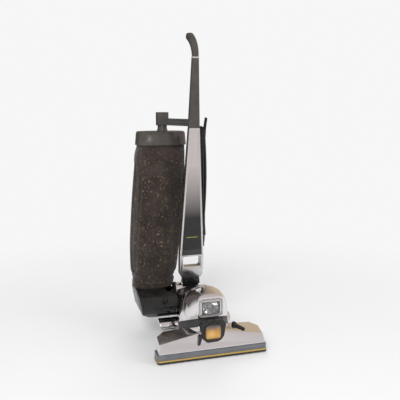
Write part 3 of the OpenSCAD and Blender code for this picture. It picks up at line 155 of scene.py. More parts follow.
class Graph:
    """A node tree that is written as expressions."""

    def __init__(self, tree):
        self.tree = tree

    def put(self, target, value):
        """Links the socket to a signal, or sets it to a number, vector or colour."""
        if isinstance(value, Signal):
            self.tree.links.new(value.socket, target)
        elif isinstance(value, tuple) and len(value) == 3 and len(target.default_value) == 4:
            target.default_value = (*value, 1)
        else:
            target.default_value = value

    def node(self, kind, settings=None, values=None, out=0):
        """Adds a node: its settings first, then the values or links of its sockets."""
        added = self.tree.nodes.new(kind)
        for name, value in (settings or {}).items():
            setattr(added, name, value)
        for socket, value in (values or {}).items():
            self.put(added.inputs[socket], value)
        return Signal(self, added.outputs[out])

    def axes(self, point):
        split = self.node("ShaderNodeSeparateXYZ", values={0: point}).socket.node
        return [Signal(self, axis) for axis in split.outputs]

    def blend(self, share, first, second, how="MIX"):
        """The first colour where share is 0, the second where it is 1."""
        settings = {"data_type": "RGBA", "blend_type": how}
        values = {SHARE: share, FIRST_COLOUR: first, SECOND_COLOUR: second}
        return self.node("ShaderNodeMix", settings, values, MIXED_COLOUR)


class Finish(Graph):
    """A material under construction: its shader, and the point that its patterns read."""

    def __init__(self, name, colour, roughness, metallic=0.0, **constants):
        self.material = bpy.data.materials.new(name)
        self.material.use_nodes = True
        super().__init__(self.material.node_tree)
        self.shader = self.tree.nodes["Principled BSDF"]
        self.set("Base Color", colour)
        self.set("Roughness", roughness)
        self.set("Metallic", metallic)
        for socket, value in constants.items():
            self.set(socket.replace("_", " "), value)
        self.point = self.node("ShaderNodeTexCoord", out="Object")

    def set(self, socket, value):
        self.put(self.shader.inputs[socket], value)

    def here(self):
        return self.axes(self.point)

    def turned(self, matrix):
        """The point in the frame that the matrix places."""
        back = matrix.inverted()
        values = {"Location": tuple(back.translation), "Rotation": tuple(back.to_euler()),
                  "Vector": self.point}
        return self.node("ShaderNodeMapping", {"vector_type": "POINT"}, values)

    def stretched(self, scale, point=None):
        values = {"Vector": point or self.point, "Scale": scale}
        return self.node("ShaderNodeMapping", {"vector_type": "POINT"}, values)

    def cloud(self, scale, detail=3.0, roughness=0.5, point=None):
        values = {"Vector": point or self.point, "Scale": scale, "Detail": detail,
                  "Roughness": roughness}
        return self.node("ShaderNodeTexNoise", values=values, out="Fac")

    def cells(self, scale, point=None, feature="F1"):
        values = {"Vector": point or self.point, "Scale": scale}
        return self.node("ShaderNodeTexVoronoi", {"feature": feature}, values, "Distance")

    def relief(self, height, distance, strength=1.0, under=None):
        values = {"Height": height, "Distance": distance, "Strength": strength}
        if under:
            values["Normal"] = under
        return self.node("ShaderNodeBump", values=values)


# ---------- finishes ----------
def wear(finish, scale):
    """Soft patches, as handling leaves them."""
    return finish.cloud(scale, detail=4).over(0.35, 0.65)


def polished(name, colour, roughness, ripple=0.00012):
    """Buffed metal, with smudges and the faint waves that the wheel leaves."""
    f = Finish(name, colour, roughness, metallic=1.0)
    dulled = tuple(c * 0.86 for c in colour)
    f.set("Roughness", wear(f, 22) * 0.07 + roughness)
    f.set("Base Color", f.blend(f.cloud(9, detail=2) * 0.5, colour, dulled))
    fine = f.relief(f.cloud(900, detail=2), distance=0.00002, strength=0.5)
    f.set("Normal", f.relief(f.cloud(28, detail=1), distance=ripple, under=fine))
    return f.material


def moulded(name, colour, roughness, grain=1600, depth=0.00006):
    """Moulded plastic or rubber: a pebbled grain, paler where hands rub it."""
    f = Finish(name, colour, roughness)
    rub = wear(f, 30)
    rubbed = tuple(min(1, c * 1.25 + 0.004) for c in colour)
    f.set("Roughness", rub * 0.14 + (roughness - 0.05))
    f.set("Base Color", f.blend(rub, colour, rubbed))
    f.set("Normal", f.relief(f.cells(grain), distance=depth, strength=0.6))
    return f.material


aluminium = polished("polished_aluminium", (0.80, 0.785, 0.78), 0.09)
satin = polished("satin_aluminium", (0.70, 0.685, 0.68), 0.24)
chrome = polished("bright_chrome", (0.88, 0.87, 0.86), 0.04, ripple=0.00004)
black = moulded("black_plastic", (0.0085, 0.0085, 0.0075), 0.25)
lid_black = moulded("lid_plastic", (0.058, 0.052, 0.045), 0.22)
grey_tube = moulded("grey_tube_plastic", (0.055, 0.050, 0.046), 0.46, grain=1300, depth=0.00008)
charcoal = moulded("charcoal_plastic", (0.029, 0.029, 0.029), 0.42)
collar_grey = moulded("collar_grey", (0.36, 0.355, 0.35), 0.4)
dark_matt = moulded("dark_matt_plastic", (0.030, 0.030, 0.031), 0.6, grain=1100)
fan_plastic = moulded("fan_plastic", (0.62, 0.55, 0.38), 0.5)
cord_skin = moulded("cord_rubber", (0.016, 0.0155, 0.015), 0.38, grain=2500)
belt_rubber = moulded("belt_rubber", (0.02, 0.02, 0.02), 0.7, grain=2200, depth=0.00012)
bristle = moulded("nylon_bristle", (0.02, 0.02, 0.02), 0.55, grain=3000)
wire_sheath = moulded("wire_sheath", (0.62, 0.61, 0.60), 0.5)
carbon = moulded("carbon_block", (0.03, 0.03, 0.031), 0.7)


def cast_metal():
    """Unpolished casting: sandy skin, darker in its pits."""
    f = Finish("cast_metal", (0.30, 0.30, 0.30), 0.5, metallic=0.9)
    sand = f.cloud(700, detail=4)
    f.set("Base Color", f.blend(sand, (0.22, 0.22, 0.22), (0.40, 0.39, 0.385)))
    f.set("Roughness", sand * 0.3 + 0.35)
    f.set("Normal", f.relief(sand, distance=0.0002, strength=0.8))
    return f.material


def ground_steel():
    """Turned steel: fine rings across the X axis."""
    f = Finish("ground_steel", (0.56, 0.56, 0.57), 0.25, metallic=1.0)
    rings = f.here()[0].ripples(9000)
    f.set("Roughness", wear(f, 60) * 0.2 + 0.2)
    f.set("Normal", f.relief(rings, distance=0.00001, strength=0.4))
    return f.material


def wound_copper():
    """Laminated core with copper between, banded along the bright shaft."""
    f = Finish("armature_core", (0.42, 0.30, 0.22), 0.4, metallic=0.9)
    x, y, z = f.here()
    shaft = reach(x, z - SHAFT_Z) < SHAFT_R
    plates = y.ripples(9000).over(-0.4, 0.4)
    core = f.blend(plates, (0.20, 0.19, 0.18), (0.52, 0.27, 0.12))
    f.set("Base Color", f.blend(shaft, core, (0.55, 0.55, 0.56)))
    f.set("Roughness", wear(f, 80) * 0.25 + 0.28)
    f.set("Normal", f.relief(plates * (1 - shaft), distance=0.0001, strength=0.6))
    return f.material


def stacked_plates():
    """Stamped laminations, edge on."""
    f = Finish("stator_plates", (0.24, 0.24, 0.25), 0.45, metallic=0.85)
    plates = f.here()[1].ripples(7000)
    f.set("Base Color", f.blend(plates.over(-1, 1), (0.16, 0.16, 0.17), (0.33, 0.33, 0.34)))
    f.set("Roughness", wear(f, 90) * 0.2 + 0.38)
    f.set("Normal", f.relief(plates, distance=0.00008, strength=0.7))
    return f.material


def lacquered_wood():
    """Dark dowel with its grain along the X axis."""
    f = Finish("lacquered_wood", (0.12, 0.06, 0.03), 0.3, Coat_Weight=0.4)
    fibres = f.cloud(1.0, 5, 0.6, f.stretched((14, 420, 420)))
    pale_grain, dark_grain = (0.17, 0.088, 0.042), (0.045, 0.022, 0.012)
    f.set("Base Color", f.blend(fibres.over(0.3, 0.7), dark_grain, pale_grain))
    f.set("Roughness", fibres * 0.2 + 0.22)
    f.set("Normal", f.relief(fibres, distance=0.00012, strength=0.5))
    return f.material


def painted_steel():
    """Black painted sheet, scuffed through to grey on the floor side."""
    f = Finish("painted_steel", (0.03, 0.03, 0.032), 0.45)
    scuff = f.cloud(1.0, 5, 0.7, f.stretched((60, 18, 60))).over(0.56, 0.68)
    floor_side = 1 - f.here()[2].over(0.0002, 0.0012)
    worn = scuff * (floor_side * 0.8 + 0.08)
    f.set("Base Color", f.blend(worn, (0.028, 0.028, 0.03), (0.30, 0.30, 0.30)))
    f.set("Metallic", worn)
    f.set("Roughness", 0.5 - worn * 0.15)
    f.set("Normal", f.relief(f.cloud(600), distance=0.00005, strength=0.5))
    return f.material


def bumper_vinyl():
    """Grey vinyl whose floor lip is black; pale rub marks along the grey."""
    f = Finish("bumper_vinyl", (0.15, 0.155, 0.165), 0.45)
    lip = f.here()[2] < BUMPER_LIP_Z
    rub = f.cloud(1.0, 4, 0.6, f.stretched((24, 24, 130))).over(0.42, 0.66)
    grey = f.blend(rub, (0.125, 0.13, 0.14), (0.175, 0.18, 0.19))
    f.set("Base Color", f.blend(lip, grey, (0.02, 0.02, 0.021)))
    f.set("Roughness", rub * 0.16 + 0.36)
    f.set("Normal", f.relief(f.cells(1300), distance=0.00006, strength=0.6))
    return f.material


def gold_line():
    """Brushed gold-coloured strip."""
    f = Finish("gold_line", (0.62, 0.42, 0.10), 0.35, metallic=0.45)
    streaks = f.cloud(1.0, 3, 0.5, f.stretched((40, 40, 2600)))
    f.set("Base Color", f.blend(streaks, (0.46, 0.29, 0.06), (0.74, 0.52, 0.16)))
    f.set("Roughness", streaks * 0.25 + 0.25)
    f.set("Normal", f.relief(streaks, distance=0.00004, strength=0.5))
    return f.material


def amber_glaze():
    """Tinted window: slate at its top, running down to gold, a painted glow of light, and painted
    shade darkening its rim.
    """
    f = Finish("amber_glaze", (0.70, 0.36, 0.06), 0.12, Coat_Weight=0.6)
    x, _, z = f.here()
    swirl = f.cloud(70) * 0.012
    up = (z + swirl).over(0.084, 0.119)
    gold = f.blend(up.over(0.0, 0.55), (0.62, 0.33, 0.06), (0.50, 0.24, 0.035))
    tint = f.blend(up.over(0.5, 0.95), gold, (0.075, 0.082, 0.10))
    # painted glow: a pale spot of painted light on the window, with no lamp behind it
    painted_glow = 1 - reach(x + 0.007, z - 0.085).over(0.002, 0.019)
    # painted shade: the window darkens towards its rim, where the bezel meets it
    rim = x.size().over(*WINDOW_RIM_SHADE_X).either((z - SHAFT_Z).size().over(*WINDOW_RIM_SHADE_Z))
    lit = f.blend(painted_glow * 0.6, tint, (0.80, 0.50, 0.19))
    f.set("Base Color", f.blend(rim * 0.6, lit, (0.10, 0.05, 0.015)))
    f.set("Roughness", f.cloud(300, detail=2) * 0.1 + 0.08)
    f.set("Normal", f.relief(f.cloud(240, detail=2), distance=0.00008, strength=0.5))
    return f.material


def fluted_glass():
    """Clear lens with upright flutes."""
    f = Finish("fluted_glass", (0.62, 0.63, 0.64), 0.03, Transmission_Weight=0.9, IOR=1.45)
    x, _, z = f.here()
    flutes = x.ripples(2400) * 0.5 + z.ripples(700) * 0.25
    f.set("Roughness", f.cloud(200, detail=2) * 0.05 + 0.02)
    f.set("Normal", f.relief(flutes, distance=0.00008, strength=0.6))
    return f.material


def frosted_bulb():
    f = Finish("bulb_glass", (0.92, 0.90, 0.84), 0.25, Coat_Weight=0.5)
    f.set("Roughness", wear(f, 200) * 0.2 + 0.18)
    f.set("Normal", f.relief(f.cloud(900, detail=2), distance=0.00004, strength=0.5))
    return f.material


def tyre(axle, tread, pitch):
    """Ribbed rubber outside the tread's inner radius, and a smoother hub inside it."""
    f = Finish("tyre_%d" % round(tread * 1000), (0.02, 0.02, 0.02), 0.65)
    x, y, z = f.here()
    rim = reach(y - axle[0], z - axle[1]) > tread
    grooves = x.ribs(pitch).over(0.55, 0.8) * rim
    rubber = f.blend(wear(f, 90), (0.014, 0.014, 0.014), (0.034, 0.033, 0.031))
    f.set("Base Color", f.blend(rim, (0.045, 0.045, 0.047), rubber))
    f.set("Roughness", rim * 0.25 + 0.42)
    f.set("Normal", f.relief(f.cells(1500) * 0.1 - grooves, distance=0.0012, strength=0.9))
    return f.material


def printed_panel():
    """Foil panel: brushed silver that runs down into black, with fine lines across the change."""
    f = Finish("printed_panel", (0.6, 0.56, 0.55), 0.3, Coat_Weight=0.08)
    on_handle = f.turned(HANDLE)
    x, _, height = f.axes(on_handle)
    brush = f.cloud(1.0, 3, 0.5, f.stretched((1600, 40, 10), on_handle))
    silver = f.blend(brush, (0.50, 0.455, 0.445), (0.66, 0.61, 0.60))
    ink = f.blend(wear(f, 60), (0.006, 0.006, 0.0055), (0.011, 0.011, 0.010))
    fine_lines = height.ribs(0.0024) * 0.16
    lined = height.over(0.285, 0.335) * (1 - height.over(0.400, 0.460))
    fade = height.over(*PANEL_FADE) + fine_lines * lined
    printed = f.blend(fade.over(0.02, 0.98), ink, silver)
    printed = f.blend(height < PANEL_FOOT, printed, (0.036, 0.038, 0.037))
    yellow_line = ((height - PANEL_LINE).size() < 0.0011) * (x.size() < 0.021)
    f.set("Base Color", f.blend(yellow_line, printed, (0.42, 0.38, 0.08)))
    f.set("Metallic", fade.over(0.2, 0.9) * 0.55)
    f.set("Roughness", brush * 0.12 + 0.27)
    f.set("Normal", f.relief(brush, distance=0.00002, strength=0.5))
    return f.material


def filter_paper():
    f = Finish("filter_paper", (0.66, 0.52, 0.33), 0.9)
    pulp = f.cloud(400, 5, 0.7)
    f.set("Base Color", f.blend(pulp, (0.55, 0.42, 0.26), (0.74, 0.61, 0.42)))
    f.set("Roughness", pulp * 0.15 + 0.8)
    f.set("Normal", f.relief(pulp, distance=0.00015, strength=0.7))
    return f.material


def plug_mould():
    """Moulded plug, ribbed for the fingers below, with two metal blades above."""
    f = Finish("plug_mould", (0.02, 0.02, 0.02), 0.5)
    height = f.axes(f.turned(HANK))[2]
    blade = height > PLUG_BLADES
    f.set("Base Color", f.blend(blade, (0.018, 0.018, 0.018), (0.72, 0.60, 0.34)))
    f.set("Metallic", blade)
    f.set("Roughness", wear(f, 90) * 0.12 + 0.42 - blade * 0.2)
    finger_ribs = height.ribs(0.0032) * (height < PLUG_RIBS)
    f.set("Normal", f.relief(finger_ribs, distance=0.0003, strength=0.7))
    return f.material


THREAD_PITCH = 0.0016


def bag_fabric():
    """Dark brown-grey woven cloth, with short curled gold and tan flecks scattered in it, and
    painted shade darkening it towards the bag's bottom.
    """
    f = Finish("bag_fabric", (0.05, 0.04, 0.035), 0.86, Sheen_Weight=0.25, Sheen_Roughness=0.5)
    round_bag, up_bag, _ = f.axes(f.node("ShaderNodeUVMap", {"uv_map": "weave"}))
    weave = round_bag.ribs(THREAD_PITCH) * up_bag.ribs(THREAD_PITCH)
    patches = f.cloud(14, 4, 0.65).over(0.36, 0.66)
    mottled = f.blend(patches, (0.022, 0.0155, 0.0125), (0.058, 0.043, 0.037))
    # painted shade: the cloth is darkened towards the bottom of the bag and left lighter at the
    # top, as the light falls
    painted_shade_below = f.blend(f.here()[2].over(0.15, 0.72), (0.62, 0.60, 0.56), (1.0, 1.0, 1.0))
    ground = f.blend(1.0, mottled, painted_shade_below, "MULTIPLY")

    swirl = f.node("ShaderNodeTexNoise", values={"Vector": f.point, "Scale": 55.0}, out="Color")
    curled = f.node("ShaderNodeMix", {"data_type": "VECTOR"},
                    {SHARE: 0.022, FIRST_VECTOR: f.point, SECOND_VECTOR: swirl}, MIXED_VECTOR)
    flat_cells = f.cells(112, f.stretched((1.0, 1.0, 0.6), curled), "DISTANCE_TO_EDGE")
    gaps = f.cloud(150, detail=2).over(0.54, 0.60)
    drifts = f.cloud(26, 3, 0.6).over(0.40, 0.60) * 0.8 + 0.2
    fleck = (flat_cells < 0.05) * gaps * drifts
    dots = (f.cells(240, curled) < 0.2) * f.cloud(60, detail=2).over(0.50, 0.58)
    gold = f.blend(f.cloud(90, detail=1).over(0.35, 0.65), (0.17, 0.10, 0.045), (0.38, 0.27, 0.16))

    f.set("Base Color", f.blend((fleck * 0.85 + dots * 0.8).over(0, 1), ground, gold))
    f.set("Roughness", 0.9 - fleck * 0.25)
    f.set("Normal", f.relief(weave * 0.5 + f.cloud(900), distance=0.0003, strength=0.8))
    return f.material


cast = cast_metal()
steel = ground_steel()
cloth = bag_fabric()


# ---------- cord ----------
CORD_D = 0.0074
PEG_SIDE = 0.0106               # from the peg's middle to the first layer's inner side
RUN = UPPER_PEG - LOWER_PEG
LAST_COLUMN, LAST_LAYER = 3, 2
BOW = 0.0058                    # how far the outermost column bows out between the pegs
STEPS = 12                      # on each straight run and on each half turn


def eased(share):
    """From 0 to 1 with a soft start and end."""
    share = max(0.0, min(1.0, share))
    return share * share * (3 - 2 * share)


def tube(name, points, radius, material):
    """A round cord along points given in metres."""
    curve = bpy.data.curves.new(name, "CURVE")
    curve.dimensions = "3D"
    spline = curve.splines.new("POLY")
    spline.points.add(len(points) - 1)
    for place, point in zip(spline.points, points):
        place.co = (*point, 1)
    curve.bevel_depth = radius
    curve.bevel_resolution = 2
    curve.use_fill_caps = True
    piece = bpy.data.objects.new(name, curve)
    bpy.context.scene.collection.objects.link(piece)
    curve.materials.append(material)
    return piece


def smooth_through(points, steps):
    """Catmull-Rom points through the given ones."""
    out = []
    ends = [2 * points[0] - points[1], *points, 2 * points[-1] - points[-2]]
    for a, b, c, d in zip(ends, ends[1:], ends[2:], ends[3:]):
        for i in range(steps):
            t = i / steps
            out.append(0.5 * (2 * b + (c - a) * t + (2 * a - 5 * b + 4 * c - d) * t * t
                              + (3 * b - a - 3 * c + d) * t ** 3))
    return out + [points[-1]]


def wound_turns():
    """The wound part in the hank's frame: up at the back, over the upper peg, down at the front,
    round the lower peg. It fills one layer column by column, then steps out to the next."""
    points = []

    def radius(layer):
        return PEG_SIDE + CORD_D * (0.5 + layer)

    def across(column):
        return CORD_D * (0.5 + column)

    def bow(x, share):
        return BOW * x / across(LAST_COLUMN) * math.sin(math.pi * share)

    def arc(top, from_layer, to_layer, from_column, to_column):
        for i in range(STEPS + 1):
            share = i / STEPS
            ease = eased(share)
            r = radius(from_layer + (to_layer - from_layer) * ease)
            x = across(from_column + (to_column - from_column) * ease)
            y, z = r * math.cos(math.pi * share), r * math.sin(math.pi * share)
            points.append(Vector((x, y, z) if top else (x, -y, -RUN - z)))

    def run(up, layer, from_column, to_column):
        for i in range(1, STEPS):
            share = i / STEPS
            x = across(from_column + (to_column - from_column) * eased(share * 3))
            y = radius(layer) * (1 if up else -1)
            z = -RUN * (1 - share) if up else -RUN * share
            points.append(Vector((x + bow(x, share), y, z)))

    layer, column = 0, 0
    while True:
        was_layer, was_column = layer, column
        if (layer, column) == (1, 0):
            layer = LAST_LAYER
        elif layer == LAST_LAYER:
            column += 1
        arc(True, was_layer, layer, was_column, column)
        run(False, layer, column, column)
        was_layer, was_column = layer, column
        if (layer, column) == (0, LAST_COLUMN):
            layer = 1
        elif layer == 1:
            column -= 1
        arc(False, was_layer, layer, was_column, column)
        if (layer, column) == (LAST_LAYER, LAST_COLUMN):
            return points
        was_column = column
        if layer == 0:
            column += 1
        run(True, layer, was_column, column)


def cord_route():
    """Out of the relief, up to the hooks, the wound part, and the loose end down to the plug."""
    lead = [HANDLE @ Vector(p) for p in (
        (0.0508, 0.0092, 0.1896), (0.0524, 0.012, 0.197), (0.053, 0.0165, 0.205),
        (0.052, 0.0225, 0.213), (0.0494, 0.029, 0.221), (0.046, 0.0345, 0.229),
        (0.043, 0.038, 0.237), (0.041, 0.040, 0.246))]
    into = [HANK @ Vector(p) for p in (
        (0.0115, 0.004, -0.296), (0.009, 0.012, -0.250), (0.0065, 0.0148, -0.190),
        (0.0042, 0.0143, -0.100), (0.0037, 0.0143, -0.030))]
    wound = [HANK @ p for p in wound_turns()]
    x = CORD_D * (LAST_COLUMN + 0.5)
    tail = [HANK @ Vector((x, y, z)) for y, z in (
        (0.0291, -0.270), (0.0291, -0.230), (0.0291, -0.190), (0.0298, -0.150), (0.0338, -0.141),
        (0.0378, -0.131), (0.0408, -0.121), (0.0418, -0.110), (0.0418, -0.100))]
    return smooth_through(lead + into, 6) + wound + smooth_through(tail, 5)


route = cord_route()
mains_cord = tube("mains_cord", route, CORD_D / 2, cord_skin)
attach(mains_cord, "handle")
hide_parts("cord_lead", "cord_hank", "cord_tail")

# ---------- pieces made from CAD nodes ----------
BODY_OF = {name: body for body, names in frame["record"]["behaviour"]["bodies"].items()
           for name in names}
WELD = 0.00002                          # corners nearer than this are one
LEVEL = math.radians(1.5)               # faces that turn less than this are one
CREASE = math.radians(32)               # edges that turn more than this are rounded


def only(piece):
    """Makes the piece the only selected object and the active one."""
    bpy.ops.object.select_all(action="DESELECT")
    piece.select_set(True)
    bpy.context.view_layer.objects.active = piece


def apply_all(piece):
    only(piece)
    for modifier in list(piece.modifiers):
        bpy.ops.object.modifier_apply(modifier=modifier.name)


def round_edges(piece, width, turn, miter):
    """Rounds the edges that turn more than the angle, and smooths the rest."""
    edge = piece.modifiers.new("edges", "BEVEL")
    edge.width = width
    edge.segments = 2
    edge.limit_method = "ANGLE"
    edge.angle_limit = turn
    edge.miter_outer = miter
    apply_all(piece)
    bpy.ops.object.shade_smooth_by_angle(angle=turn)


def stand_for(piece, name):
    """The piece rides with the node's body and is shown instead of it."""
    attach(piece, BODY_OF[name])
    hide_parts(name)


def refined(name, node, material, bevel):
    """The node's shape with rounded edges and smooth faces."""
    piece = bpy.data.objects.new(name, nodes[node].data.copy())
    bpy.context.scene.collection.objects.link(piece)
    piece.data.materials.clear()
    piece.data.materials.append(material)
    only(piece)
    bpy.ops.object.mode_set(mode="EDIT")
    bpy.ops.mesh.select_all(action="SELECT")
    bpy.ops.mesh.remove_doubles(threshold=WELD)
    bpy.ops.mesh.customdata_custom_splitnormals_clear()
    bpy.ops.mesh.dissolve_limited(angle_limit=LEVEL)
    bpy.ops.object.mode_set(mode="OBJECT")
    round_edges(piece, bevel, CREASE, "MITER_ARC")
    stand_for(piece, node)


def dress(material, *names):
    """Gives CAD nodes whose shape is right a better material."""
    for name in names:
        for slot in nodes[name].material_slots:
            slot.material = material


refined("nozzle_casting", "nozzle_housing", aluminium, 0.0016)
refined("fan_casting", "fan_housing", aluminium, 0.0012)
refined("hood_shell", "hood", aluminium, 0.0012)
refined("light_cap_shell", "headlight_cap", aluminium, 0.0012)
refined("chassis_casting", "chassis", aluminium, 0.001)
refined("fender_pair", "rear_fenders", aluminium, 0.001)
refined("exhaust_port", "exhaust_duct", aluminium, 0.001)
refined("handle_rails", "handle_frame", satin, 0.0018)
refined("crown_knob", "cap_knob", chrome, 0.0006)
refined("belt_bezel", "lifter_bezel", black, 0.0012)
refined("belt_knob", "lifter_knob", black, 0.0008)
refined("belt_window", "lifter_window", amber_glaze(), 0.0008)
refined("lock_handle", "nozzle_lock", black, 0.0008)
refined("neck_casting", "handle_neck", black, 0.0015)
refined("hook_posts", "handle_back", black, 0.0008)
refined("upper_tube", "upper_handle", grey_tube, 0.0015)
refined("hand_grip", "grip", grey_tube, 0.001)
refined("bag_hanger", "bag_arm", grey_tube, 0.001)
refined("turning_hook", "upper_cord_hook", black, 0.001)
refined("fixed_hook", "lower_cord_hook", black, 0.001)
refined("bag_elbow", "emptor", black, 0.0015)
refined("elbow_knob", "emptor_knob", black, 0.0008)
refined("bag_lid", "bag_cap", lid_black, 0.0012)
refined("band_shell", "body_band", charcoal, 0.001)
refined("bumper_rubber", "bumper_strip", bumper_vinyl(), 0.0008)
refined("motor_shroud", "motor_cover", black, 0.001)
refined("rear_tyres", "rear_wheels", tyre(REAR_AXLE, tread=0.0222, pitch=0.008), 0.0008)
refined("front_tyres", "front_wheels", tyre(FRONT_AXLE, tread=0.010, pitch=0.005), 0.0006)
refined("height_toe_plate", "height_pedal", dark_matt, 0.0008)
refined("drive_toe_plate", "drive_pedal", dark_matt, 0.0008)
refined("drive_case", "gearbox", cast, 0.0008)
refined("front_carriage", "wheel_carriage", cast, 0.0006)
refined("brush_guard", "sole_plate", painted_steel(), 0.0005)
refined("end_blocks", "roll_end_caps", dark_matt, 0.0006)
refined("grip_ring", "grip_collar", collar_grey, 0.0006)
refined("rocker", "power_switch", black, 0.0006)
refined("cord_sleeve", "cord_relief", dark_matt, 0.0005)
refined("plug_body", "cord_plug", plug_mould(), 0.0006)
dress(gold_line(), "bumper_stripe")
dress(lacquered_wood(), "brush_roll")
dress(bristle, "brush_tufts")
dress(belt_rubber, "drive_belt")
dress(cast, "fan_backplate")
dress(fan_plastic, "fan")
dress(wound_copper(), "armature")
dress(stacked_plates(), "stator")
dress(steel, "shaft_bearings", "rear_axle", "handle_pin")
dress(carbon, "carbon_brushes")
dress(fluted_glass(), "headlight_lens")
dress(chrome, "headlight_reflector")
dress(frosted_bulb(), "headlight_bulb")
dress(printed_panel(), "handle_panel")
dress(wire_sheath, "handle_wire")
dress(filter_paper(), "paper_bag")

# ---------- bag ----------
# Height, centre in plan, and half width and half depth of the cloth, from the hem to the lid.
BAG_RINGS = [
    (0.1578, -0.1315, 0.314, 0.0773, 0.0497), (0.172, -0.131, 0.314, 0.0795, 0.0512),
    (0.204, -0.130, 0.315, 0.0845, 0.0560), (0.240, -0.128, 0.317, 0.0878, 0.0617),
    (0.330, -0.121, 0.328, 0.0945, 0.0680), (0.447, -0.107, 0.340, 0.1000, 0.0690),
    (0.560, -0.095, 0.351, 0.1010, 0.0682), (0.640, -0.090, 0.357, 0.1000, 0.0648),
    (0.666, -0.087, 0.359, 0.0975, 0.0606), (0.684, -0.084, 0.360, 0.0905, 0.0527),
    (0.700, -0.084, 0.360, 0.0882, 0.0502)]
BAG_BOTTOM, BAG_TOP = BAG_RINGS[0][0], BAG_RINGS[-1][0]
BAG_SIDES, BAG_ROWS = 112, 96
BAG_INSET = 0.0008                      # of the tube inside the rings, before it fills
BAG_SQUARENESS = 0.8                    # 1 makes the rings oval, less makes them squarer
WEAVE_ROUND = 0.56                      # of the weave's own measure, once round the bag
WALL = 0.0014
AIR_STEPS = 25                          # frames that the cloth has to fill and hang
PLEATS, TUCKS = 13, 7                   # folds once round, under the lid and over the hem
PLEAT_DEPTH, TUCK_DEPTH, DENT_DEPTH = 0.0016, 0.0018, 0.004
# How far the cloth may fold in over the paper bag, and how much less near the lid and the hem.
FOLD_ROOM, LESS_BY_LID, LESS_BY_HEM = 0.0092, 0.0062, 0.0040
STITCHING, HEM_TOP = 0.0065, 0.0096     # heights over the hem's edge


def bag_ring(height):
    """The ring at a height: the height, its centre, and its half width and half depth."""
    for low, high in zip(BAG_RINGS, BAG_RINGS[1:]):
        if height <= high[0]:
            share = (height - low[0]) / (high[0] - low[0])
            return [a + (b - a) * share for a, b in zip(low, high)]
    return BAG_RINGS[-1]


def bag_point(height, share):
    """A point of the tube, share of the way round, starting at the machine's right."""
    _, x, y, wide, deep = bag_ring(height)
    turn = 2 * math.pi * share
    c, s = math.cos(turn), math.sin(turn)
    return Vector((x + (wide - BAG_INSET) * math.copysign(abs(c) ** BAG_SQUARENESS, c),
                   y + (deep - BAG_INSET) * math.copysign(abs(s) ** BAG_SQUARENESS, s), height))


def bag_tube():
    """The bag before it fills: one open tube of four-sided faces, with its weave's UV map."""
    mesh = bpy.data.meshes.new("outer_bag")
    heights = [BAG_BOTTOM + (BAG_TOP - BAG_BOTTOM) * i / BAG_ROWS for i in range(BAG_ROWS + 1)]
    points = [bag_point(height, j / BAG_SIDES) for height in heights for j in range(BAG_SIDES)]
    faces = [(i * BAG_SIDES + j, i * BAG_SIDES + (j + 1) % BAG_SIDES,
              (i + 1) * BAG_SIDES + (j + 1) % BAG_SIDES, (i + 1) * BAG_SIDES + j)
             for i in range(BAG_ROWS) for j in range(BAG_SIDES)]
    mesh.from_pydata(points, [], faces)
    weave = mesh.uv_layers.new(name="weave")
    for face in mesh.polygons:
        row, column = divmod(face.index, BAG_SIDES)
        for right, up, loop in zip((0, 1, 1, 0), (0, 0, 1, 1), face.loop_indices):
            weave.data[loop].uv = ((column + right) / BAG_SIDES * WEAVE_ROUND, heights[row + up])
    mesh.materials.append(cloth)
    piece = bpy.data.objects.new("outer_bag", mesh)
    bpy.context.scene.collection.objects.link(piece)
    return piece, heights


def held_points(heights):
    """How firmly each point is held: fully at the elbow's cuff and under the lid."""
    held = {}
    for i, height in enumerate(heights):
        weight = max(1 - (height - BAG_BOTTOM) / 0.030, (height - 0.668) / 0.016)
        if weight > 0:
            for j in range(BAG_SIDES):
                held[i * BAG_SIDES + j] = min(1.0, weight)
    return held


def settle(piece, held):
    """Lets the cloth hang from its held points with the machine's air inside it, and keeps the
    result, with no point further from its start than the limits."""
    out_limit, in_limit, slide_limit = 0.0045, 0.0085, 0.008
    start = [v.co.copy() for v in piece.data.vertices]
    group = piece.vertex_groups.new(name="held")
    for index, weight in held.items():
        group.add([index], weight, "REPLACE")
    only(piece)
    hang = piece.modifiers.new("settle", "CLOTH")
    how = hang.settings
    how.quality = 6
    how.mass = 0.25
    how.tension_stiffness = 12
    how.compression_stiffness = 8
    how.shear_stiffness = 3
    how.bending_stiffness = 0.6
    how.vertex_group_mass = "held"
    how.use_pressure = True
    how.uniform_pressure_force = 2.2
    how.shrink_min = -0.035
    how.effector_weights.gravity = 0.25
    hang.collision_settings.use_collision = False
    hang.collision_settings.use_self_collision = False
    hang.point_cache.frame_end = AIR_STEPS
    for step in range(1, AIR_STEPS + 1):
        bpy.context.scene.frame_set(step)
    bpy.ops.object.modifier_apply(modifier=hang.name)
    bpy.context.scene.frame_set(1)
    normals = [v.normal.copy() for v in piece.data.vertices]
    for vertex, was, way in zip(piece.data.vertices, start, normals):
        moved = vertex.co - was
        out = moved.dot(way)
        side = moved - way * out
        limit = out_limit if out > 0 else in_limit
        held_out = limit * math.tanh(out / limit)
        slide = min(1.0, slide_limit / max(side.length, 1e-6))
        vertex.co = was + way * held_out + side * slide


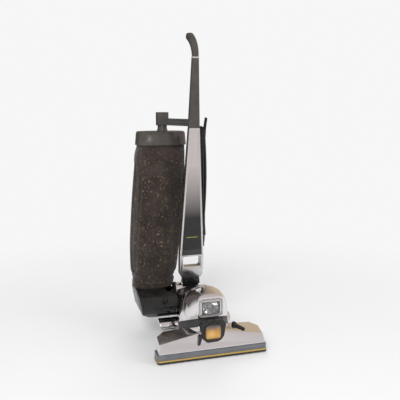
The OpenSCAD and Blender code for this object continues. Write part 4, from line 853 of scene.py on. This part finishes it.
def fold_depth(place, turn):
    """How far a point of the cloth folds in: pleats under the lid, tucks over the hem, and soft
    dents all over."""
    near_top = max(0.0, min(1.0, (place.z - 0.610) / 0.06, (0.690 - place.z) / 0.012))
    near_hem = max(0.0, 1 - (place.z - BAG_BOTTOM) / 0.09)
    pleats = 0.5 + 0.5 * math.sin(turn * PLEATS + 2.2 * math.sin(turn * 3 + 1.0))
    tucks = 0.5 + 0.5 * math.sin(turn * TUCKS + 1.5 * math.sin(turn * 2) + place.z * 30)
    around = Vector((math.cos(turn) * 2.2 + 7, math.sin(turn) * 2.2 + 3, place.z * 2.4))
    dents = 0.5 + 0.5 * noise.noise(around)
    return pleats * PLEAT_DEPTH * near_top + tucks * TUCK_DEPTH * near_hem + dents * DENT_DEPTH


def hem_step(above_hem):
    """The hem's stitched edge: the folded cloth stands out, and the stitching draws it in."""
    if above_hem < STITCHING:
        return 0.0009
    return -0.0006 if above_hem < HEM_TOP else 0


def creases(piece):
    """Folds the cloth, and keeps it clear of the paper bag inside and of the machine outside."""
    for vertex in piece.data.vertices:
        place = vertex.co
        _, x, y, wide, deep = bag_ring(place.z)
        above_hem = place.z - BAG_BOTTOM
        turn = math.atan2((place.y - y) / deep, (place.x - x) / wide)
        way = Vector((math.cos(turn) / wide, math.sin(turn) / deep, 0)).normalized()
        loose = max(0.0, min(1.0, (above_hem - 0.008) / 0.02, (0.688 - place.z) / 0.02))
        place -= way * fold_depth(place, turn) * loose
        out_x, out_y = place.x - x, place.y - y
        stretch = ((abs(out_x) / wide) ** 2.5 + (abs(out_y) / deep) ** 2.5) ** 0.4
        room_in = (FOLD_ROOM - LESS_BY_LID * eased((place.z - 0.50) / 0.17)
                   - LESS_BY_HEM * eased((0.30 - place.z) / 0.11))
        room_out = 0.004 if out_x < -0.02 else 0.0018
        kept = min(max(stretch, 1 - room_in / deep), 1 + room_out / deep)
        vertex.co = (Vector((x + out_x * kept / stretch, y + out_y * kept / stretch, place.z))
                     + way * hem_step(above_hem))


def make_bag():
    """The outer bag: one sewn tube with a folded hem, sagging between its lid and the cuff."""
    piece, heights = bag_tube()
    settle(piece, held_points(heights))
    creases(piece)
    only(piece)
    wall = piece.modifiers.new("wall", "SOLIDIFY")
    wall.thickness = WALL
    wall.offset = -1
    fine = piece.modifiers.new("fine", "SUBSURF")
    fine.levels = fine.render_levels = 1
    apply_all(piece)
    bpy.ops.object.shade_smooth()
    stand_for(piece, "bag_cloth")


make_bag()

# ---------- headlight trim ----------
TRIM_OVER = 0.003               # wider and taller than the lens
TRIM_DEPTH, TRIM_SET_BACK = 0.0044, 0.0006
TRIM_CORNER, TRIM_BAND = 0.0075, 0.0034
TRIM_CREASE = math.radians(40)


def lens_frame():
    """Raised bright frame round the headlight lens."""
    low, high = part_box("headlight_lens")
    middle_x, _, middle_z = [(a + b) / 2 for a, b in zip(low, high)]
    bpy.ops.object.select_all(action="DESELECT")
    bpy.ops.mesh.primitive_cube_add(
        size=1, calc_uvs=False, location=(middle_x, low[1] + TRIM_SET_BACK, middle_z),
        scale=(high[0] - low[0] + TRIM_OVER, TRIM_DEPTH, high[2] - low[2] + TRIM_OVER))
    piece = bpy.context.object
    piece.name = "lens_frame"
    bpy.ops.object.transform_apply(location=True, rotation=True, scale=True)
    bpy.ops.object.mode_set(mode="EDIT")
    bpy.ops.mesh.select_all(action="SELECT")
    bpy.ops.mesh.bevel(offset=TRIM_CORNER, segments=5)
    shape = bmesh.from_edit_mesh(piece.data)
    for face in shape.faces:
        face.select = abs(face.normal.y) > 0.9
    bmesh.update_edit_mesh(piece.data)
    bpy.ops.mesh.inset(thickness=TRIM_BAND, depth=0)
    bpy.ops.mesh.bridge_edge_loops()
    bpy.ops.object.mode_set(mode="OBJECT")
    round_edges(piece, 0.0006, TRIM_CREASE, "MITER_SHARP")
    piece.data.materials.append(satin)
    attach(piece, "light_cap")


lens_frame()

# ---------- stage ----------
PLAIN_LIGHT = 0.5               # strength of the world on the surfaces
BACKDROP = (0.925, 0.925, 0.93)
FLOOR_RADIUS, FLOOR_CENTRE_Y = 3.2, 0.2
FLOOR_FADE = (0.3, 1.7)         # the floor fades into the backdrop between these distances
LAMPS = (                       # name, place, aim, size, power, seen in polished metal
    ("key_light", (-1.5, -2.1, 2.7), (0, 0.1, 0.4), 1.7, 62, False),
    ("fill_light", (2.3, -1.6, 1.5), (0, 0.1, 0.4), 1.9, 24, False),
    ("back_light", (0.4, 2.4, 2.4), (0, 0.1, 0.6), 1.6, 22, False),
    ("spark_light", (-1.0, -2.0, 1.9), (0, 0.1, 0.3), 0.45, 5, True))


def surroundings():
    """Even white light on the surfaces and a pale backdrop for the camera and clear glass.
    Polished metal mirrors a room that is pale in front, dark at the back left, tan at the right."""
    world = bpy.data.worlds.new("studio")
    bpy.context.scene.world = world
    world.use_nodes = True
    room = Graph(world.node_tree)
    right, back, up = room.axes(room.node("ShaderNodeTexCoord", out="Generated"))
    front = room.blend(up.over(-0.1, 0.9), (0.80, 0.76, 0.77), (0.60, 0.545, 0.555))
    behind = room.blend(right.over(0.12, 0.42), (0.12, 0.105, 0.10), (0.62, 0.50, 0.37))
    path = room.node("ShaderNodeLightPath").socket.node

    def ray(kind):
        return Signal(room, path.outputs[kind])

    def sky(colour, strength=1.0):
        return room.node("ShaderNodeBackground", values={"Color": colour, "Strength": strength})

    def mixed(share, first, second):
        return room.node("ShaderNodeMixShader", values={0: share, 1: first, 2: second})

    mirrored = sky(room.blend(back.over(0.10, 0.50), front, behind))
    light = mixed(ray("Is Glossy Ray"), sky((1, 1, 1), PLAIN_LIGHT), mirrored)
    clear = ray("Is Camera Ray").either(ray("Is Transmission Ray"))
    room.put(room.tree.nodes["World Output"].inputs[0], mixed(clear, light, sky(BACKDROP)))


def pale_floor():
    bpy.ops.object.select_all(action="DESELECT")
    bpy.ops.mesh.primitive_circle_add(vertices=96, radius=FLOOR_RADIUS, fill_type="NGON",
                                      location=(0, FLOOR_CENTRE_Y, 0))
    floor = bpy.context.object
    floor.name = "floor"
    bpy.ops.object.transform_apply(location=True)
    f = Finish("pale_floor", (0.90, 0.90, 0.905), 0.9)
    x, y, _ = f.here()
    far = reach(x, y - FLOOR_CENTRE_Y).over(*FLOOR_FADE)
    far = far * far * (3 - far * 2)
    f.set("Roughness", f.cloud(3, detail=2) * 0.1 + 0.85)
    ground = Signal(f, f.shader.outputs[0])
    open_air = f.node("ShaderNodeBsdfTransparent")
    edge = f.node("ShaderNodeMixShader", values={0: far, 1: ground, 2: open_air})
    f.put(f.tree.nodes["Material Output"].inputs[0], edge)
    floor.data.materials.append(f.material)


def lamps():
    for name, place, aim, size, power, in_metal in LAMPS:
        lamp = bpy.data.lights.new(name, "AREA")
        lamp.size = size
        lamp.energy = power
        body = bpy.data.objects.new(name, lamp)
        bpy.context.scene.collection.objects.link(body)
        body.location = place
        facing = (Vector(aim) - Vector(place)).to_track_quat("-Z", "Y")
        body.rotation_euler = facing.to_euler()
        body.visible_glossy = in_metal


bpy.context.scene.view_settings.view_transform = "Standard"
surroundings()
pale_floor()
lamps()
